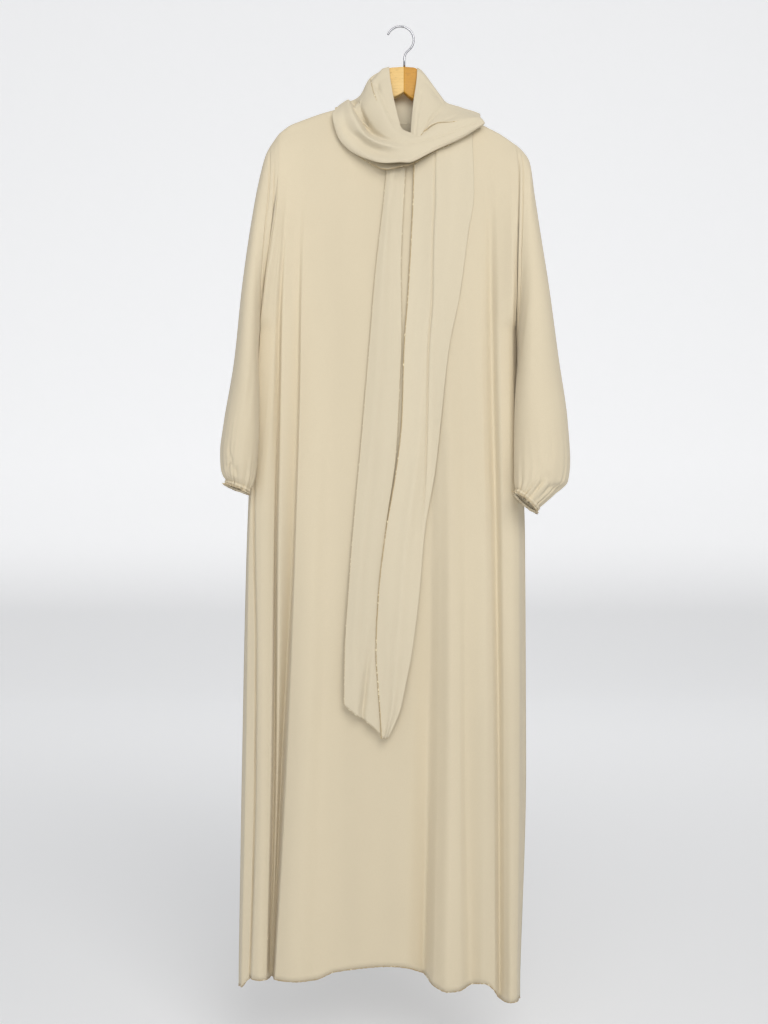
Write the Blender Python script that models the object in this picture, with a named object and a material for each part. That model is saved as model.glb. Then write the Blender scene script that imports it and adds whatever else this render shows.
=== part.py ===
"""Abaya with its matching neck scarf, hanging flat on a wooden coat hanger.

Sizes are millimetres here and metres in the meshes. X runs to the right of the garment's front as
it is seen, Y runs away from its front, and Z runs up. The origin is the inside of the hook's top.
Each cloth piece is a wall: a grid of points on its inner face, and the same points moved out.
"""

import math

import bpy
import numpy as np

MM = 0.001
SAME = 1e-6         # heights closer than this are the same
TINY = 1e-9         # keeps a division clear of zero
SMOOTH_ANGLE = 40.0 # edges sharper than this, in degrees, stay sharp

# The cloth
WALL = 1.6          # thickness of its wall
MOST_WALL = 3.6     # thickness along Y where it turns steeply
LEAST_STEP = 0.5    # step across that a fold's steepness is measured over, at least
SEAM = 0.4          # gap between a sleeve and a panel
SEAM_HALF_GAP = 0.15    # from the middle of a shoulder or side seam to each panel
CUFF_GAP = 0.8      # from a sleeve's end to its cuff

# The hanger
HANGER_X = 5.5      # its middle
ARM_SWEEP = 14.0    # how far its tips lie behind its middle
ARM_REACH = 200.0   # from its middle to its tips
ARM_HALF_THICK = 6.8
ARM_SEAT = 0.4      # gap from the wood to the cloth that lies on it
HOOK_RADIUS = 22.0
WIRE_RADIUS = 1.7
WIRE_SIDES = 10
HOOK_TIP_ANGLE = 158.0
HOOK_LAST_ANGLE = -50.0
HOOK_STEPS = 18
BEND_DROP = 6.0     # how far under the hook's arc the bend's corner lies
BEND_FOOT_Z = -53.0
BEND_STEPS = 6
SHANK_X = 6.5
SHANK_FOOT_Z = -66.1

# The neck and armholes
NECK_LEFT_X = -87.0
NECK_RIGHT_X = 86.0
FRONT_NECK_DROP = 60.0
BACK_NECK_DROP = 20.0
ARMHOLE_HALF_DEPTH = 32.0
ARMHOLE_BLEND = 45.0   # how far the armhole's curve reaches into a panel
SHOULDER_ROUND = 7.3   # inner radius of the cloth over the hanger
OVER_ARM = 50.0     # how far down from the shoulder the cloth is kept clear of the hanger's arm
WITHIN_NECK = (0.0, 8.0, -130.0)    # a point that the scarf's stretches go round

# The outer line of each shoulder, from the neck to the sleeve: x, z
LEFT_SHOULDER = ((-199, -169), (-183, -157), (-166, -150), (-125, -136), (-87, -127))
RIGHT_SHOULDER = ((86, -132), (112, -144), (141, -159), (166, -172), (191, -189))

# Each armhole's line from the shoulder to the underarm: x, z
LEFT_ARMHOLE = ((-199, -169), (-200, -227), (-203, -304), (-213, -367), (-222, -450), (-230, -494))
RIGHT_ARMHOLE = ((191, -189), (194, -227), (192, -304), (190, -367), (189, -450), (190, -494))

# Heights at which the folds' places and depths are given, under the shoulder
LEVELS = (-227, -499, -580, -854, -1209, -1563)

# The front's folds from left to right. Name, x at the top edge, x at each level, y of the inner
# face at each level, z at the hem, and how many columns lead to the next fold.
FRONT_FOLDS = (
    ("left_seam", -199, (-200, -228.5, -231.5, -254, -262, -268), (-8, 14, 14, 16, 18, 20), -1589, 2),
    ("left_column", -193, (-193, -221, -224, -248, -254, -259), (-8, 2, 3, 6, 4, 2), -1583, 2),
    ("side_fold", -185, (-187, -211, -216, -242, -242, -250), (-8, -4, 1, 16, 20, 20), -1573, 2),
    ("side_ridge", -176, (-180, -203, -207, -228, -228, -233), (-8, -6, -7, -10, -14, -18), -1566, 2),
    ("fold_one", -166, (-172, -195, -199, -206, -214, -223), (-8, -2, 0, 2, 8, 16), -1571, 2),
    ("ridge_one", -156, (-163, -181, -185, -191, -206, -217), (-8, -11, -12, -13, -2, 17), -1570, 2),
    ("fold_two", -143, (-154, -167, -170, -176, -196, -210), (-8, -5, -4, -2, 8, 15), -1573, 2),
    ("left_front", -123, (-135, -145, -147, -153, -164, -174), (-8, -14, -16, -20, -28, -33), -1563, 3),
    ("left_middle", -87, (-83, -91, -93, -99, -106, -114), (-8, -11, -12, -13, -16, -16), -1555, 1),
    ("left_neck", -82.5, (-77, -85, -87, -93, -100, -108), (-8, -11, -12, -13, -16, -16), -1554, 4),
    ("centre", 0, (-7, -7, -8, -11, -14, -20), (-8, -10, -10, -10, -8, -5), -1549, 4),
    ("fold_three", 52, (46, 47, 48, 52, 52, 42), (-8, -7, -6, -2, 2, 4), -1568, 2),
    ("right_neck", 79.5, (68, 71, 72, 76, 76, 71), (-8, -12, -14, -19, -33, -44), -1575, 1),
    ("ridge_three", 86, (75, 78, 79, 84, 84, 79), (-8, -12, -14, -20, -34, -46), -1575, 2),
    ("fold_four", 106, (100, 104, 105, 107, 107, 115), (-8, -11, -12, -13, -20, -27), -1567, 2),
    ("ridge_four", 126, (123, 129, 129, 131, 132, 134), (-8, -14, -16, -22, -32, -38), -1565, 2),
    ("fold_five", 149, (146, 152, 153, 160, 161, 160), (-8, -3, -3, -3, -8, -14), -1590, 2),
    ("right_front", 171, (166, 171, 172, 178, 178, 177), (-8, -10, -13, -24, -40, -52), -1590, 3),
    ("right_seam", 191, (193, 188.6, 191.5, 206, 207, 195), (-8, 14, 14, 12, 6, -12), -1596, 0),
)

# The back's folds, in the same form
BACK_FOLDS = (
    ("left_seam", -199, (-200, -228.5, -231.5, -254, -262, -268), (36, 14, 14, 16, 18, 20), -1589, 3),
    ("ridge_one", -160, (-166, -190, -194, -222, -232, -238), (30, 28, 30, 36, 44, 46), -1592, 3),
    ("fold_one", -128, (-132, -150, -154, -176, -190, -196), (28, 28, 28, 27, 30, 32), -1586, 3),
    ("ridge_two", -87, (-88, -104, -108, -124, -140, -150), (26, 30, 32, 40, 50, 58), -1582, 1),
    ("left_neck", -82.5, (-82, -98, -102, -118, -134, -144), (26, 30, 32, 39, 49, 57), -1581, 2),
    ("fold_two", -40, (-44, -52, -54, -62, -76, -84), (24, 27, 28, 30, 34, 36), -1572, 3),
    ("ridge_three", 5, (2, -2, -4, -8, -14, -18), (25, 29, 30, 38, 48, 56), -1568, 3),
    ("fold_three", 52, (46, 46, 46, 50, 50, 48), (26, 27, 28, 30, 32, 32), -1574, 3),
    ("right_neck", 81.5, (82, 88, 90, 98, 102, 102), (27, 30, 33, 41, 49, 53), -1581, 1),
    ("ridge_four", 86, (88, 94, 96, 104, 108, 108), (27, 30, 33, 42, 50, 54), -1582, 2),
    ("fold_four", 136, (132, 132, 134, 146, 152, 152), (29, 28, 28, 27, 30, 28), -1588, 3),
    ("ridge_five", 165, (166, 168, 170, 182, 184, 178), (32, 26, 26, 30, 34, 28), -1594, 3),
    ("right_seam", 191, (193, 188.6, 191.5, 206, 207, 195), (36, 14, 14, 12, 6, -12), -1596, 0),
)

# Rows of a panel: shares of the way from its top edge to the underarm, then on to the hem
SLEEVE_COLUMNS = 24
TOP_ROWS = (0.0, 0.004, 0.035)
UPPER_ROWS = sorted(TOP_ROWS + tuple(
    0.5 - 0.5 * math.cos(2 * math.pi * k / SLEEVE_COLUMNS) for k in range(1, SLEEVE_COLUMNS // 2 + 1)))
LOWER_ROWS = (0.04, 0.10, 0.20, 0.32, 0.46, 0.60, 0.74, 0.88, 1.0)

# A sleeve's sections from the armhole to the wrist. Name, the outer end's x, y, z, the inner
# end's x, y, z, half the depth from front to back, how far the front is lifted, gather's height
LEFT_SLEEVE = (
    ("armhole", -199, 14, -169, -230, 14, -494, 32, 0, 0),
    ("cap", -208, 14, -183, -234, 12, -510, 33, 0, 0),
    ("shoulder", -221, 12, -206, -235, 8, -530, 34, 0, 0),
    ("upper", -234, 8, -258, -234.5, 0, -560, 35, 0, 0),
    ("arm", -246, 2, -330, -233, -10, -595, 36, 0, 0),
    ("elbow", -259, -6, -430, -232, -18, -632, 37, 0, 0),
    ("forearm", -274, -12, -555, -232, -24, -668, 38, 2, 0),
    ("low", -290, -18, -648, -233.5, -27, -700, 38, 3, 0.4),
    ("full", -297, -22, -700, -236, -29, -727, 36, 4, 0.8),
    ("tuck", -296, -25, -727, -238.5, -30, -743, 31, 5, 1.2),
    ("gather", -290, -27, -741, -242, -31, -754, 25, 6, 1.5),
    ("wrist", -282, -28, -748, -246, -31, -763, 20, 7, 1.6),
)
RIGHT_SLEEVE = (
    ("armhole", 191, 14, -189, 190, 14, -494, 32, 0, 0),
    ("cap", 202, 14, -201, 194, 12, -510, 33, 0, 0),
    ("shoulder", 213, 12, -219, 194.5, 8, -530, 34, 0, 0),
    ("upper", 221, 8, -275, 194, 0, -560, 35, 0, 0),
    ("arm", 230, 2, -340, 190.5, -10, -595, 36, 0, 0),
    ("elbow", 243, -6, -430, 188, -18, -632, 38, 0, 0),
    ("forearm", 260, -12, -545, 186.5, -24, -675, 40, 2, 0),
    ("low", 274, -24, -645, 185.5, -32, -710, 40, 3, 0.4),
    ("full", 277, -30, -712, 185.5, -38, -736, 38, 4, 0.8),
    ("tuck", 272, -34, -750, 186, -42, -751, 33, 5, 1.2),
    ("gather", 248, -38, -770, 187, -45, -759, 26, 6, 1.5),
    ("wrist", 222, -41, -792, 189, -47, -765, 18, 7, 1.6),
)
GATHERS = 12
SLEEVE_ROWS = (0, 0.5, 1, 1.5, 2, 3, 4, 5, 6, 7, 7.5, 8, 8.5, 9, 9.5, 10, 10.5, 11)
BOWED_ROWS = 5      # rows over which the armhole's bow dies away

# A cuff's rings: share of its length, how much wider than the wrist, height of its waves
CUFF_RINGS = ((0.0, 0.0, 1.6), (0.35, 1.2, 1.6), (0.62, -0.6, 1.6), (0.8, 0.8, 2.0), (1.0, 2.6, 2.6))
CUFF_LENGTH = 13.0

# The scarf's swag across the front from the left shoulder to the right tip. Name, upper edge
# x, z, lower edge x, z, y of its back, height of its roll, how far it faces up and to the right
# in degrees, depth of the trough along it
COWL_STATIONS = (
    ("shoulder", -86, -121, -109, -128.5, 13.2, 3, 80, -20, 0),
    ("shoulder_round", -84, -125, -110, -132, 3, 5, 65, -24, 0),
    ("shoulder_front", -81, -131, -111, -145, -8, 10, 50, -25, 0),
    ("left_neck", -75, -150, -105, -174, -17, 14, 28, -20, 1),
    ("left_turn", -66, -172, -95, -196, -24, 16, 12, -12, 4),
    ("left_front", -48, -184, -76, -215, -30, 21, 2, -8, 7),
    ("left_middle", -24, -188, -43, -230, -32, 25, 0, -4, 7),
    ("middle", 0, -190, -6, -233, -33, 27, 0, 0, 5),
    ("right_middle", 24, -185, 30, -226, -33, 26, 0, 4, 3),
    ("right_front", 52, -169, 66, -208, -31, 22, 0, 10, 2),
    ("right_turn", 86, -160, 98, -190, -26, 15, 0, 16, 1),
    ("right_end", 114, -158.5, 120, -176, -20, 10, 4, 28, 0),
    ("tip", 131, -155, 134, -164, -12, 6, 10, 58, 0),
)
COWL_ANGLES = (-104, -78, -52, -28, -6, 14, 36, 60, 84, 104)
TROUGH_ANGLE = -14.0
TROUGH_WIDTH = 16.0

# The scarf's swag across the back, in the same form but facing back
BACK_STATIONS = (
    ("left_shoulder", -86, -121, -109, -128.5, 14.2, 3, 80, -20, 0),
    ("left_round", -84, -124, -111, -133, 24, 8, 62, -22, 0),
    ("left", -70, -130, -98, -160, 34, 13, 30, -20, 2),
    ("left_middle", -38, -106, -48, -194, 38, 17, 4, -8, 4),
    ("middle", 2, -98, 2, -202, 39, 18, 2, 0, 4),
    ("right_middle", 40, -108, 50, -196, 38, 17, 4, 8, 3),
    ("right", 74, -138, 98, -166, 34, 13, 30, 20, 2),
    ("right_round", 82, -130, 112, -140, 24, 8, 62, 22, 0),
    ("right_shoulder", 86, -127, 114, -138, 14, 5, 78, 24, 0),
)
BACK_ANGLES = (-98, -70, -42, -16, 10, 36, 62, 88)

# The scarf's stretches over the hanger's neck. Name of each run from the back over the top to the
# front, then x, y, z of its inner edge, middle and outer edge
NECK_LEFT_RUNS = (
    ("back_foot", (-8, 31, -132), (-34, 31, -134), (-60, 29, -134)),
    ("back", (-12, 25, -99), (-38, 27, -107), (-62, 27, -120)),
    ("back_rise", (-17, 17, -76), (-43, 20, -86), (-64, 22, -113)),
    ("top", (-20, 4, -66), (-48, 6.5, -78.5), (-67, 9.5, -113)),
    ("front_rise", (-19.5, -9.5, -76), (-49, -8, -88), (-70, -3, -116)),
    ("front", (-17, -15, -95), (-50, -16, -108), (-73, -8, -122)),
    ("front_fall", (-12, -19, -118), (-46, -21, -132), (-73, -10, -137)),
    ("foot", (-5, -23, -146), (-38, -23, -157), (-68, -11, -156)),
    ("tuck", (1, -24, -172), (-30, -23, -178), (-62, -13, -178)),
    ("end", (6, -22, -198), (-20, -21, -200), (-50, -18, -199)),
)
NECK_RIGHT_RUNS = (
    ("back_foot", (14, 31, -132), (42, 31, -136), (70, 29, -140)),
    ("back", (20, 25, -99), (46, 27, -112), (71, 27, -128)),
    ("back_rise", (25, 17, -77), (47, 20, -93), (73, 22, -118)),
    ("top", (28, 4, -66.5), (62, 7.5, -105.5), (78, 9.5, -123.5)),
    ("front_rise", (28, -9.5, -77), (72, -5, -119), (98, -1, -135)),
    ("front", (24, -18, -97), (70, -17, -125), (118, -8, -141.5)),
    ("front_fall", (21, -30, -122), (66, -35, -141), (128, -11, -147)),
    ("foot", (18, -44, -150), (60, -49, -156), (131, -13, -150)),
    ("edge", (22, -55, -189), (58, -51, -171.5), (132, -14, -152)),
)

# The scarf's hanging ends: z, x of the left edge, x of the right edge
LEFT_TAIL = (
    (-212, -20, 16), (-300, -29, 5), (-404, -41, 1), (-500, -49, 2), (-608, -58, -2),
    (-700, -66, -7), (-832, -78, -25), (-914, -84, -35), (-1030, -91, -42), (-1110, -92, -40),
)
RIGHT_TAIL = (
    (-186, 22, 112), (-212, 22, 119), (-275, 21, 121), (-344, 18, 111), (-446, 12, 97), (-528, 6, 80),
    (-650, 2, 66), (-731, -7, 57), (-832, -24, 40), (-935, -36, 31), (-1027, -41, 19),
    (-1093, -38, 3),
)
# z of each tail's top and of its end, at its left edge and at its right edge
LEFT_TAIL_ENDS = (-214, -222, -1112, -1162)
RIGHT_TAIL_ENDS = (-216, -186, -1168, -1120)
TAIL_ROWS = 16
TAIL_COLUMNS = 8
LEFT_TAIL_LIFT = 0.6    # from the front to the left tail's inner face
RIGHT_TAIL_LIFT = 2.4
# Soft folds on a tail: name, share across at its top and end, half width as a share, height
LEFT_TAIL_FOLDS = (("roll", 0.30, 0.34, 0.24, 5.0), ("soft", 0.80, 0.78, 0.18, 2.0))
RIGHT_TAIL_FOLDS = (("pleat", 0.36, 0.62, 0.16, 4.0), ("edge", 0.04, 0.06, 0.14, 3.0))

# The hanger's arms up to the shoulders: x, z of the top, height, for each section
LEFT_ARM = ((5.5, -66.5, 42), (-12, -66.8, 49), (-30, -70.8, 46), (-45, -87, 38), (-56, -104, 32),
            (-66, -121, 27), (-78, -134, 23))
RIGHT_ARM = ((5.5, -66.5, 42), (22, -67, 52), (38, -79.4, 45), (52, -96.4, 36), (63, -111.4, 30),
             (72, -124, 26), (79, -137.5, 22))
ARM_NECK_DIP = 7.0  # how far an arm's top dips where the neckline crosses it
ARM_NECK_HEIGHT = 25.0
ARM_TIP_HEIGHT = 21.0
ARM_TIPS = (-194.0, 186.0)
ARM_SHARES = (0.0, 0.18, 0.36, 0.56, 0.76, 0.93)
TIP_ROUND = 4.0     # how far the tip's end is rounded off

# Finishes: colour, roughness, metallic
CLOTH = ((0.66, 0.57, 0.42), 0.85, 0.0)
SCARF = ((0.69, 0.61, 0.47), 0.85, 0.0)
WOOD = ((0.72, 0.42, 0.12), 0.35, 0.0)
CHROME = ((0.80, 0.80, 0.82), 0.15, 1.0)


def clear_scene():
    """Remove every object that the file starts with."""
    for thing in list(bpy.data.objects):
        bpy.data.objects.remove(thing, do_unlink=True)


def ease(share):
    """Go from 0 to 1 with a level start and a level end."""
    return 0.5 - 0.5 * np.cos(np.pi * np.clip(share, 0.0, 1.0))


def slopes(knots, values):
    """Give each knot's slope for a curve that never swings past its knots."""
    steps = np.diff(values, axis=0) / np.diff(knots)[:, None]
    middle = np.where(
        steps[:-1] * steps[1:] > 0,
        2 * steps[:-1] * steps[1:] / np.where(steps[:-1] + steps[1:] == 0, 1, steps[:-1] + steps[1:]),
        0.0,
    )
    return np.vstack([steps[:1], middle, steps[-1:]])


def along(at, knots, values):
    """Read smooth curves through values at the rising knots, at the places asked for."""
    knots = np.asarray(knots, float)
    values = np.asarray(values, float).reshape(len(knots), -1)
    at = np.clip(np.atleast_1d(np.asarray(at, float)), knots[0], knots[-1])
    slope = slopes(knots, values)
    i = np.clip(np.searchsorted(knots, at) - 1, 0, len(knots) - 2)
    width = (knots[i + 1] - knots[i])[:, None]
    t = (at - knots[i])[:, None] / width
    start = values[i] * (1 + 2 * t) * (1 - t) ** 2 + slope[i] * width * t * (1 - t) ** 2
    end = values[i + 1] * t * t * (3 - 2 * t) + slope[i + 1] * width * t * t * (t - 1)
    return start + end


def line_z(line, x):
    """Give a line's height at x, for a line given as x, z points with x rising."""
    return float(along(x, [p[0] for p in line], [p[1] for p in line])[0, 0])


def line_x(line, z):
    """Give a line's x at a height, for a line given as x, z points from the top down."""
    return float(along(-z, [-p[1] for p in line], [p[0] for p in line])[0, 0])


def arm_y(x):
    """Give the y of the hanger's middle line, which sweeps back to its tips."""
    share = min(abs(x - HANGER_X) / ARM_REACH, 1.0)
    return ARM_SWEEP * (1 - (1 - share) ** 2)


def shoulder_z(x):
    """Give the inner height of the cloth along the shoulders and straight across the neck."""
    if x <= NECK_LEFT_X:
        return line_z(LEFT_SHOULDER, x) - WALL
    if x >= NECK_RIGHT_X:
        return line_z(RIGHT_SHOULDER, x) - WALL
    share = (x - NECK_LEFT_X) / (NECK_RIGHT_X - NECK_LEFT_X)
    return LEFT_SHOULDER[-1][1] * (1 - share) + RIGHT_SHOULDER[0][1] * share - WALL


def top_z(x, drop):
    """Give the height of a panel's top edge: the shoulder, or the neckline's curve."""
    middle = 0.5 * (NECK_LEFT_X + NECK_RIGHT_X)
    half = 0.5 * (NECK_RIGHT_X - NECK_LEFT_X)
    share = min(abs(x - middle) / half, 1.0)
    return shoulder_z(x) - drop * (1 - share ** 2)


def armhole_y(z, line, side):
    """Give the y of an armhole's edge on the front (side -1) or the back (side 1)."""
    top, foot = line[0][1] - WALL, line[-1][1]
    share = min(max((top - z) / (top - foot), 0.0), 1.0)
    return ARM_SWEEP + side * 2 * ARMHOLE_HALF_DEPTH * math.sqrt(share * (1 - share))


def facing_out(points, faces):
    """Turn a closed solid's faces so that they all point out."""
    volume = 0.0
    for face in faces:
        for second, third in zip(face[1:-1], face[2:]):
            volume += np.dot(points[face[0]], np.cross(points[second], points[third]))
    return faces if volume > 0 else [face[::-1] for face in faces]


def make_solid(name, points, faces, finish):
    """Make one named object from its points in millimetres and its faces."""
    points = np.asarray(points, float)
    faces = facing_out(points, faces)
    mesh = bpy.data.meshes.new(name)
    mesh.from_pydata([tuple(MM * c for c in p) for p in points], [], faces)
    mesh.update()
    mesh.shade_smooth()
    mesh.set_sharp_from_angle(angle=math.radians(SMOOTH_ANGLE))
    colour, roughness, metallic = finish
    material = bpy.data.materials.new(name)
    material.use_nodes = True
    shader = material.node_tree.nodes["Principled BSDF"]
    shader.inputs["Base Color"].default_value = (*colour, 1.0)
    shader.inputs["Roughness"].default_value = roughness
    shader.inputs["Metallic"].default_value = metallic
    mesh.materials.append(material)
    thing = bpy.data.objects.new(name, mesh)
    bpy.context.collection.objects.link(thing)
    return thing


def wall_faces(rows, columns, closed):
    """Join an inner and an outer grid into one closed wall; a closed grid is a tube."""
    def at(layer, i, j):
        return layer * rows * columns + i * columns + j % columns

    faces = []
    last = columns if closed else columns - 1
    for i in range(rows - 1):
        for j in range(last):
            inner = [at(0, i, j), at(0, i, j + 1), at(0, i + 1, j + 1), at(0, i + 1, j)]
            outer = [at(1, i, j), at(1, i + 1, j), at(1, i + 1, j + 1), at(1, i, j + 1)]
            if not closed and 2 * j >= last:
                inner, outer = inner[1:] + inner[:1], outer[1:] + outer[:1]
            faces += [inner, outer]
    for j in range(last):
        faces.append([at(0, 0, j), at(1, 0, j), at(1, 0, j + 1), at(0, 0, j + 1)])
        faces.append([at(0, rows - 1, j), at(0, rows - 1, j + 1), at(1, rows - 1, j + 1), at(1, rows - 1, j)])
    if not closed:
        for i in range(rows - 1):
            faces.append([at(0, i, 0), at(0, i + 1, 0), at(1, i + 1, 0), at(1, i, 0)])
            faces.append([at(0, i, last), at(1, i, last), at(1, i + 1, last), at(0, i + 1, last)])
    return faces


def make_wall(name, inner, outer, closed, finish):
    """Make a cloth wall between two grids."""
    rows, columns = inner.shape[:2]
    points = np.concatenate([inner.reshape(-1, 3), outer.reshape(-1, 3)])
    faces = wall_faces(rows, columns, closed)
    return make_solid(name, points, faces, finish)


def grid_normals(grid, closed):
    """Give a unit normal at each grid point, from the steps along and across it."""
    down = np.gradient(grid, axis=0)
    if closed:
        across = (np.roll(grid, -1, axis=1) - np.roll(grid, 1, axis=1)) / 2
    else:
        across = np.gradient(grid, axis=1)
    normal = np.cross(down, across)
    length = np.linalg.norm(normal, axis=2, keepdims=True)
    return normal / np.maximum(length, TINY)


def thicken(inner, closed, outward):
    """Move a grid out along its normals; outward is a rough direction that most of them share."""
    normal = grid_normals(inner, closed)
    return inner + WALL * normal * np.sign(np.sum(normal * outward))


def square_end(inner, outer, row):
    """Turn a tube's end so that its wall lies in the plane of its last ring."""
    ring = inner[row]
    radial = ring - ring.mean(axis=0)
    plane = np.sum(np.cross(radial, np.roll(radial, -1, axis=0)), axis=0)
    plane /= np.linalg.norm(plane)
    step = np.cross(np.roll(ring, -1, axis=0) - np.roll(ring, 1, axis=0), plane)
    step /= np.linalg.norm(step, axis=1, keepdims=True)
    outer[row] = ring + WALL * step * np.sign(np.sum(step * radial))


class Panel:
    """The front (side -1) or the back (side 1): its folds' lines, and its depth at any place."""

    def __init__(self, folds, drop, side):
        self.side, self.drop = side, drop
        self.columns = [f[5] for f in folds]
        self.top_x = np.array([f[1] for f in folds], float)
        self.top = np.array([top_z(x, drop) for x in self.top_x])
        self.hem = np.array([f[4] for f in folds], float)
        seats = [arm_y(x) + side * SHOULDER_ROUND for x in self.top_x]
        self.x_values = [(f[1],) + f[2] for f in folds]
        self.y_values = [(seat,) + f[3] for f, seat in zip(folds, seats)]

    def lines(self, z):
        """Give x and y of every fold's line at one height."""
        x, y = [], []
        for k, top in enumerate(self.top):
            knots = [-top] + [-level for level in LEVELS]
            pair = np.column_stack([self.x_values[k], self.y_values[k]])
            at = along(-z, knots, pair)[0]
            x.append(at[0])
            y.append(at[1])
        return np.array(x), np.array(y)

    def round_over(self, x, z):
        """Give how far back to the seam the cloth lies where it rounds over the hanger."""
        if NECK_LEFT_X < x < NECK_RIGHT_X:
            return 0.0
        below = min(max((shoulder_z(x) - z) / SHOULDER_ROUND, 0.0), 1.0)
        return SHOULDER_ROUND * (1 - math.sqrt(1 - (1 - below) ** 2))

    def to_armhole(self, x, z, edge_y):
        """Give the change of depth that leads the cloth onto the armhole's curve."""
        change = 0.0
        for line, inward in ((LEFT_ARMHOLE, 1), (RIGHT_ARMHOLE, -1)):
            if z > line[-1][1]:
                away = max((x - line_x(line, z)) * inward, 0.0)
                weight = max(1 - away / ARMHOLE_BLEND, 0.0) ** 2
                edge = edge_y[0] if inward == 1 else edge_y[1]
                change += weight * (armhole_y(z, line, self.side) - edge)
        return change

    def depth(self, x, z):
        """Give the y of the inner face at any x and z: the eased steps between the folds, summed."""
        line_at, depth_at = self.lines(z)
        share = (x - line_at[:-1]) / np.diff(line_at)
        y = depth_at[0] + float(np.sum(np.diff(depth_at) * ease(share)))
        if z > shoulder_z(x) - OVER_ARM:
            y = self.side * max(self.side * y, self.side * arm_y(x) + SHOULDER_ROUND)
        edge_y = [depth_at[e] - self.side * self.round_over(line_at[e], z) for e in (0, -1)]
        return y - self.side * self.round_over(x, z) + self.to_armhole(x, z, edge_y)

    def grid(self):
        """Give the inner face's points, in rows from the top edge to the hem."""
        places = []
        for k, count in enumerate(self.columns[:-1]):
            places += [k + j / count for j in range(count)]
        places.append(len(self.columns) - 1)
        foot = (LEFT_ARMHOLE[-1][1], RIGHT_ARMHOLE[-1][1])
        rows = [(share, 0.0) for share in UPPER_ROWS] + [(1.0, share) for share in LOWER_ROWS]
        points = np.zeros((len(rows), len(places), 3))
        index = np.arange(len(self.columns))
        for j, place in enumerate(places):
            x_top = float(np.interp(place, index, self.top_x))
            top = top_z(x_top, self.drop)
            hem = float(along(place, index, self.hem)[0, 0])
            across = place / index[-1]
            under = foot[0] * (1 - across) + foot[1] * across
            for i, (upper, lower) in enumerate(rows):
                z = top + (under - top) * upper + (hem - under) * lower
                x = float(np.interp(place, index, self.lines(z)[0]))
                if upper == 0.0 and not NECK_LEFT_X < x_top < NECK_RIGHT_X:
                    x = x_top
                points[i, j] = self.settle(x, z, place, index[-1])
        return points

    def settle(self, x, z, place, last):
        """Put a point on the cloth, and its edges on the armholes and on the side seams."""
        for line, edge, inward in ((LEFT_ARMHOLE, 0, 1), (RIGHT_ARMHOLE, last, -1)):
            if place == edge and z >= line[-1][1]:
                x = line_x(line, min(z, line[0][1])) + inward * SEAM / 2
        y = self.depth(x, z)
        middle = ARM_SWEEP if place in (0, last) else None
        if middle is not None and z >= LEFT_ARMHOLE[-1][1]:
            y = self.side * max(self.side * y, self.side * middle + SEAM_HALF_GAP)
        elif middle is not None:
            y += self.side * SEAM_HALF_GAP
        if abs(z - shoulder_z(x)) < SAME:
            y = arm_y(x) + self.side * SEAM_HALF_GAP
        return x, y, z

    def outer(self, inner):
        """Move the inner face out in each column's own upright plane, thicker on steep folds."""
        down = np.gradient(inner, axis=0)
        across = np.gradient(inner, axis=1)
        steep = across[..., 1] / np.maximum(across[..., 0], LEAST_STEP)
        thick = np.minimum(WALL * np.sqrt(1 + steep ** 2), MOST_WALL)
        length = np.maximum(np.hypot(down[..., 1], down[..., 2]), TINY)
        out = inner.copy()
        out[..., 1] += self.side * thick * -down[..., 2] / length
        out[..., 2] += self.side * thick * down[..., 1] / length
        seam = np.abs(inner[0, :, 2] - [shoulder_z(x) for x in inner[0, :, 0]]) < SAME
        out[0, seam] = inner[0, seam] + (0, 0, WALL)
        return out


def sleeve_table(sections, places):
    """Read a sleeve's sections at the places asked for, as rows of numbers."""
    table = np.array([s[1:] for s in sections], float)
    return along(places, np.arange(len(table)), table)


def sleeve_rings(table, swell, waves):
    """Give a sleeve's rings: ovals between the two ends of each row, swollen and with gathers."""
    angle = 2 * np.pi * np.arange(SLEEVE_COLUMNS) / SLEEVE_COLUMNS
    rings = []
    for row, more, wave in zip(table, swell, waves):
        middle, reach = (row[0:3] + row[3:6]) / 2, (row[0:3] - row[3:6]) / 2
        half, depth, lift = np.linalg.norm(reach), row[6], row[7]
        crest = wave * np.cos(GATHERS * angle) + more
        ring = middle + np.outer(np.cos(angle) * (1 + crest / half), reach)
        ring += np.outer(np.sin(angle) * (1 + crest / depth), (0.0, -depth, lift))
        rings.append(ring)
    return np.array(rings)


def bow(ring):
    """Give how far each point of a ring lies to the side of the line between its two ends."""
    x, z = ring[:, 0], ring[:, 2]
    foot = SLEEVE_COLUMNS // 2
    return x - x[0] - (x[foot] - x[0]) * (z - z[0]) / (z[foot] - z[0])


def make_sleeve(name, sections, armhole, outward):
    """Make a sleeve from its armhole, where it follows the panels' edges, to the wrist."""
    places = np.array(SLEEVE_ROWS, float)
    top, foot = armhole[0][1] - WALL, armhole[-1][1]
    start = list(sections[0])
    start[3], start[6] = top, foot
    table = sleeve_table((start,) + sections[1:], places)
    rings = sleeve_rings(table, np.zeros(len(places)), table[:, 8])
    rings[0, :, 2] = np.clip(rings[0, :, 2], foot, top)
    for j in range(SLEEVE_COLUMNS):
        rings[0, j, 0] = line_x(armhole, rings[0, j, 2]) + outward * SEAM / 2
    bend = bow(rings[0])
    for i in range(1, BOWED_ROWS):
        rings[i, :, 0] += bend * (1 - places[i] / places[BOWED_ROWS])
    outer = thicken(rings, True, rings - rings.mean(axis=1, keepdims=True))
    outer[0, :, 0] = rings[0, :, 0]
    square_end(rings, outer, -1)
    return make_wall(name, rings, outer, True, CLOTH)


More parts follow.
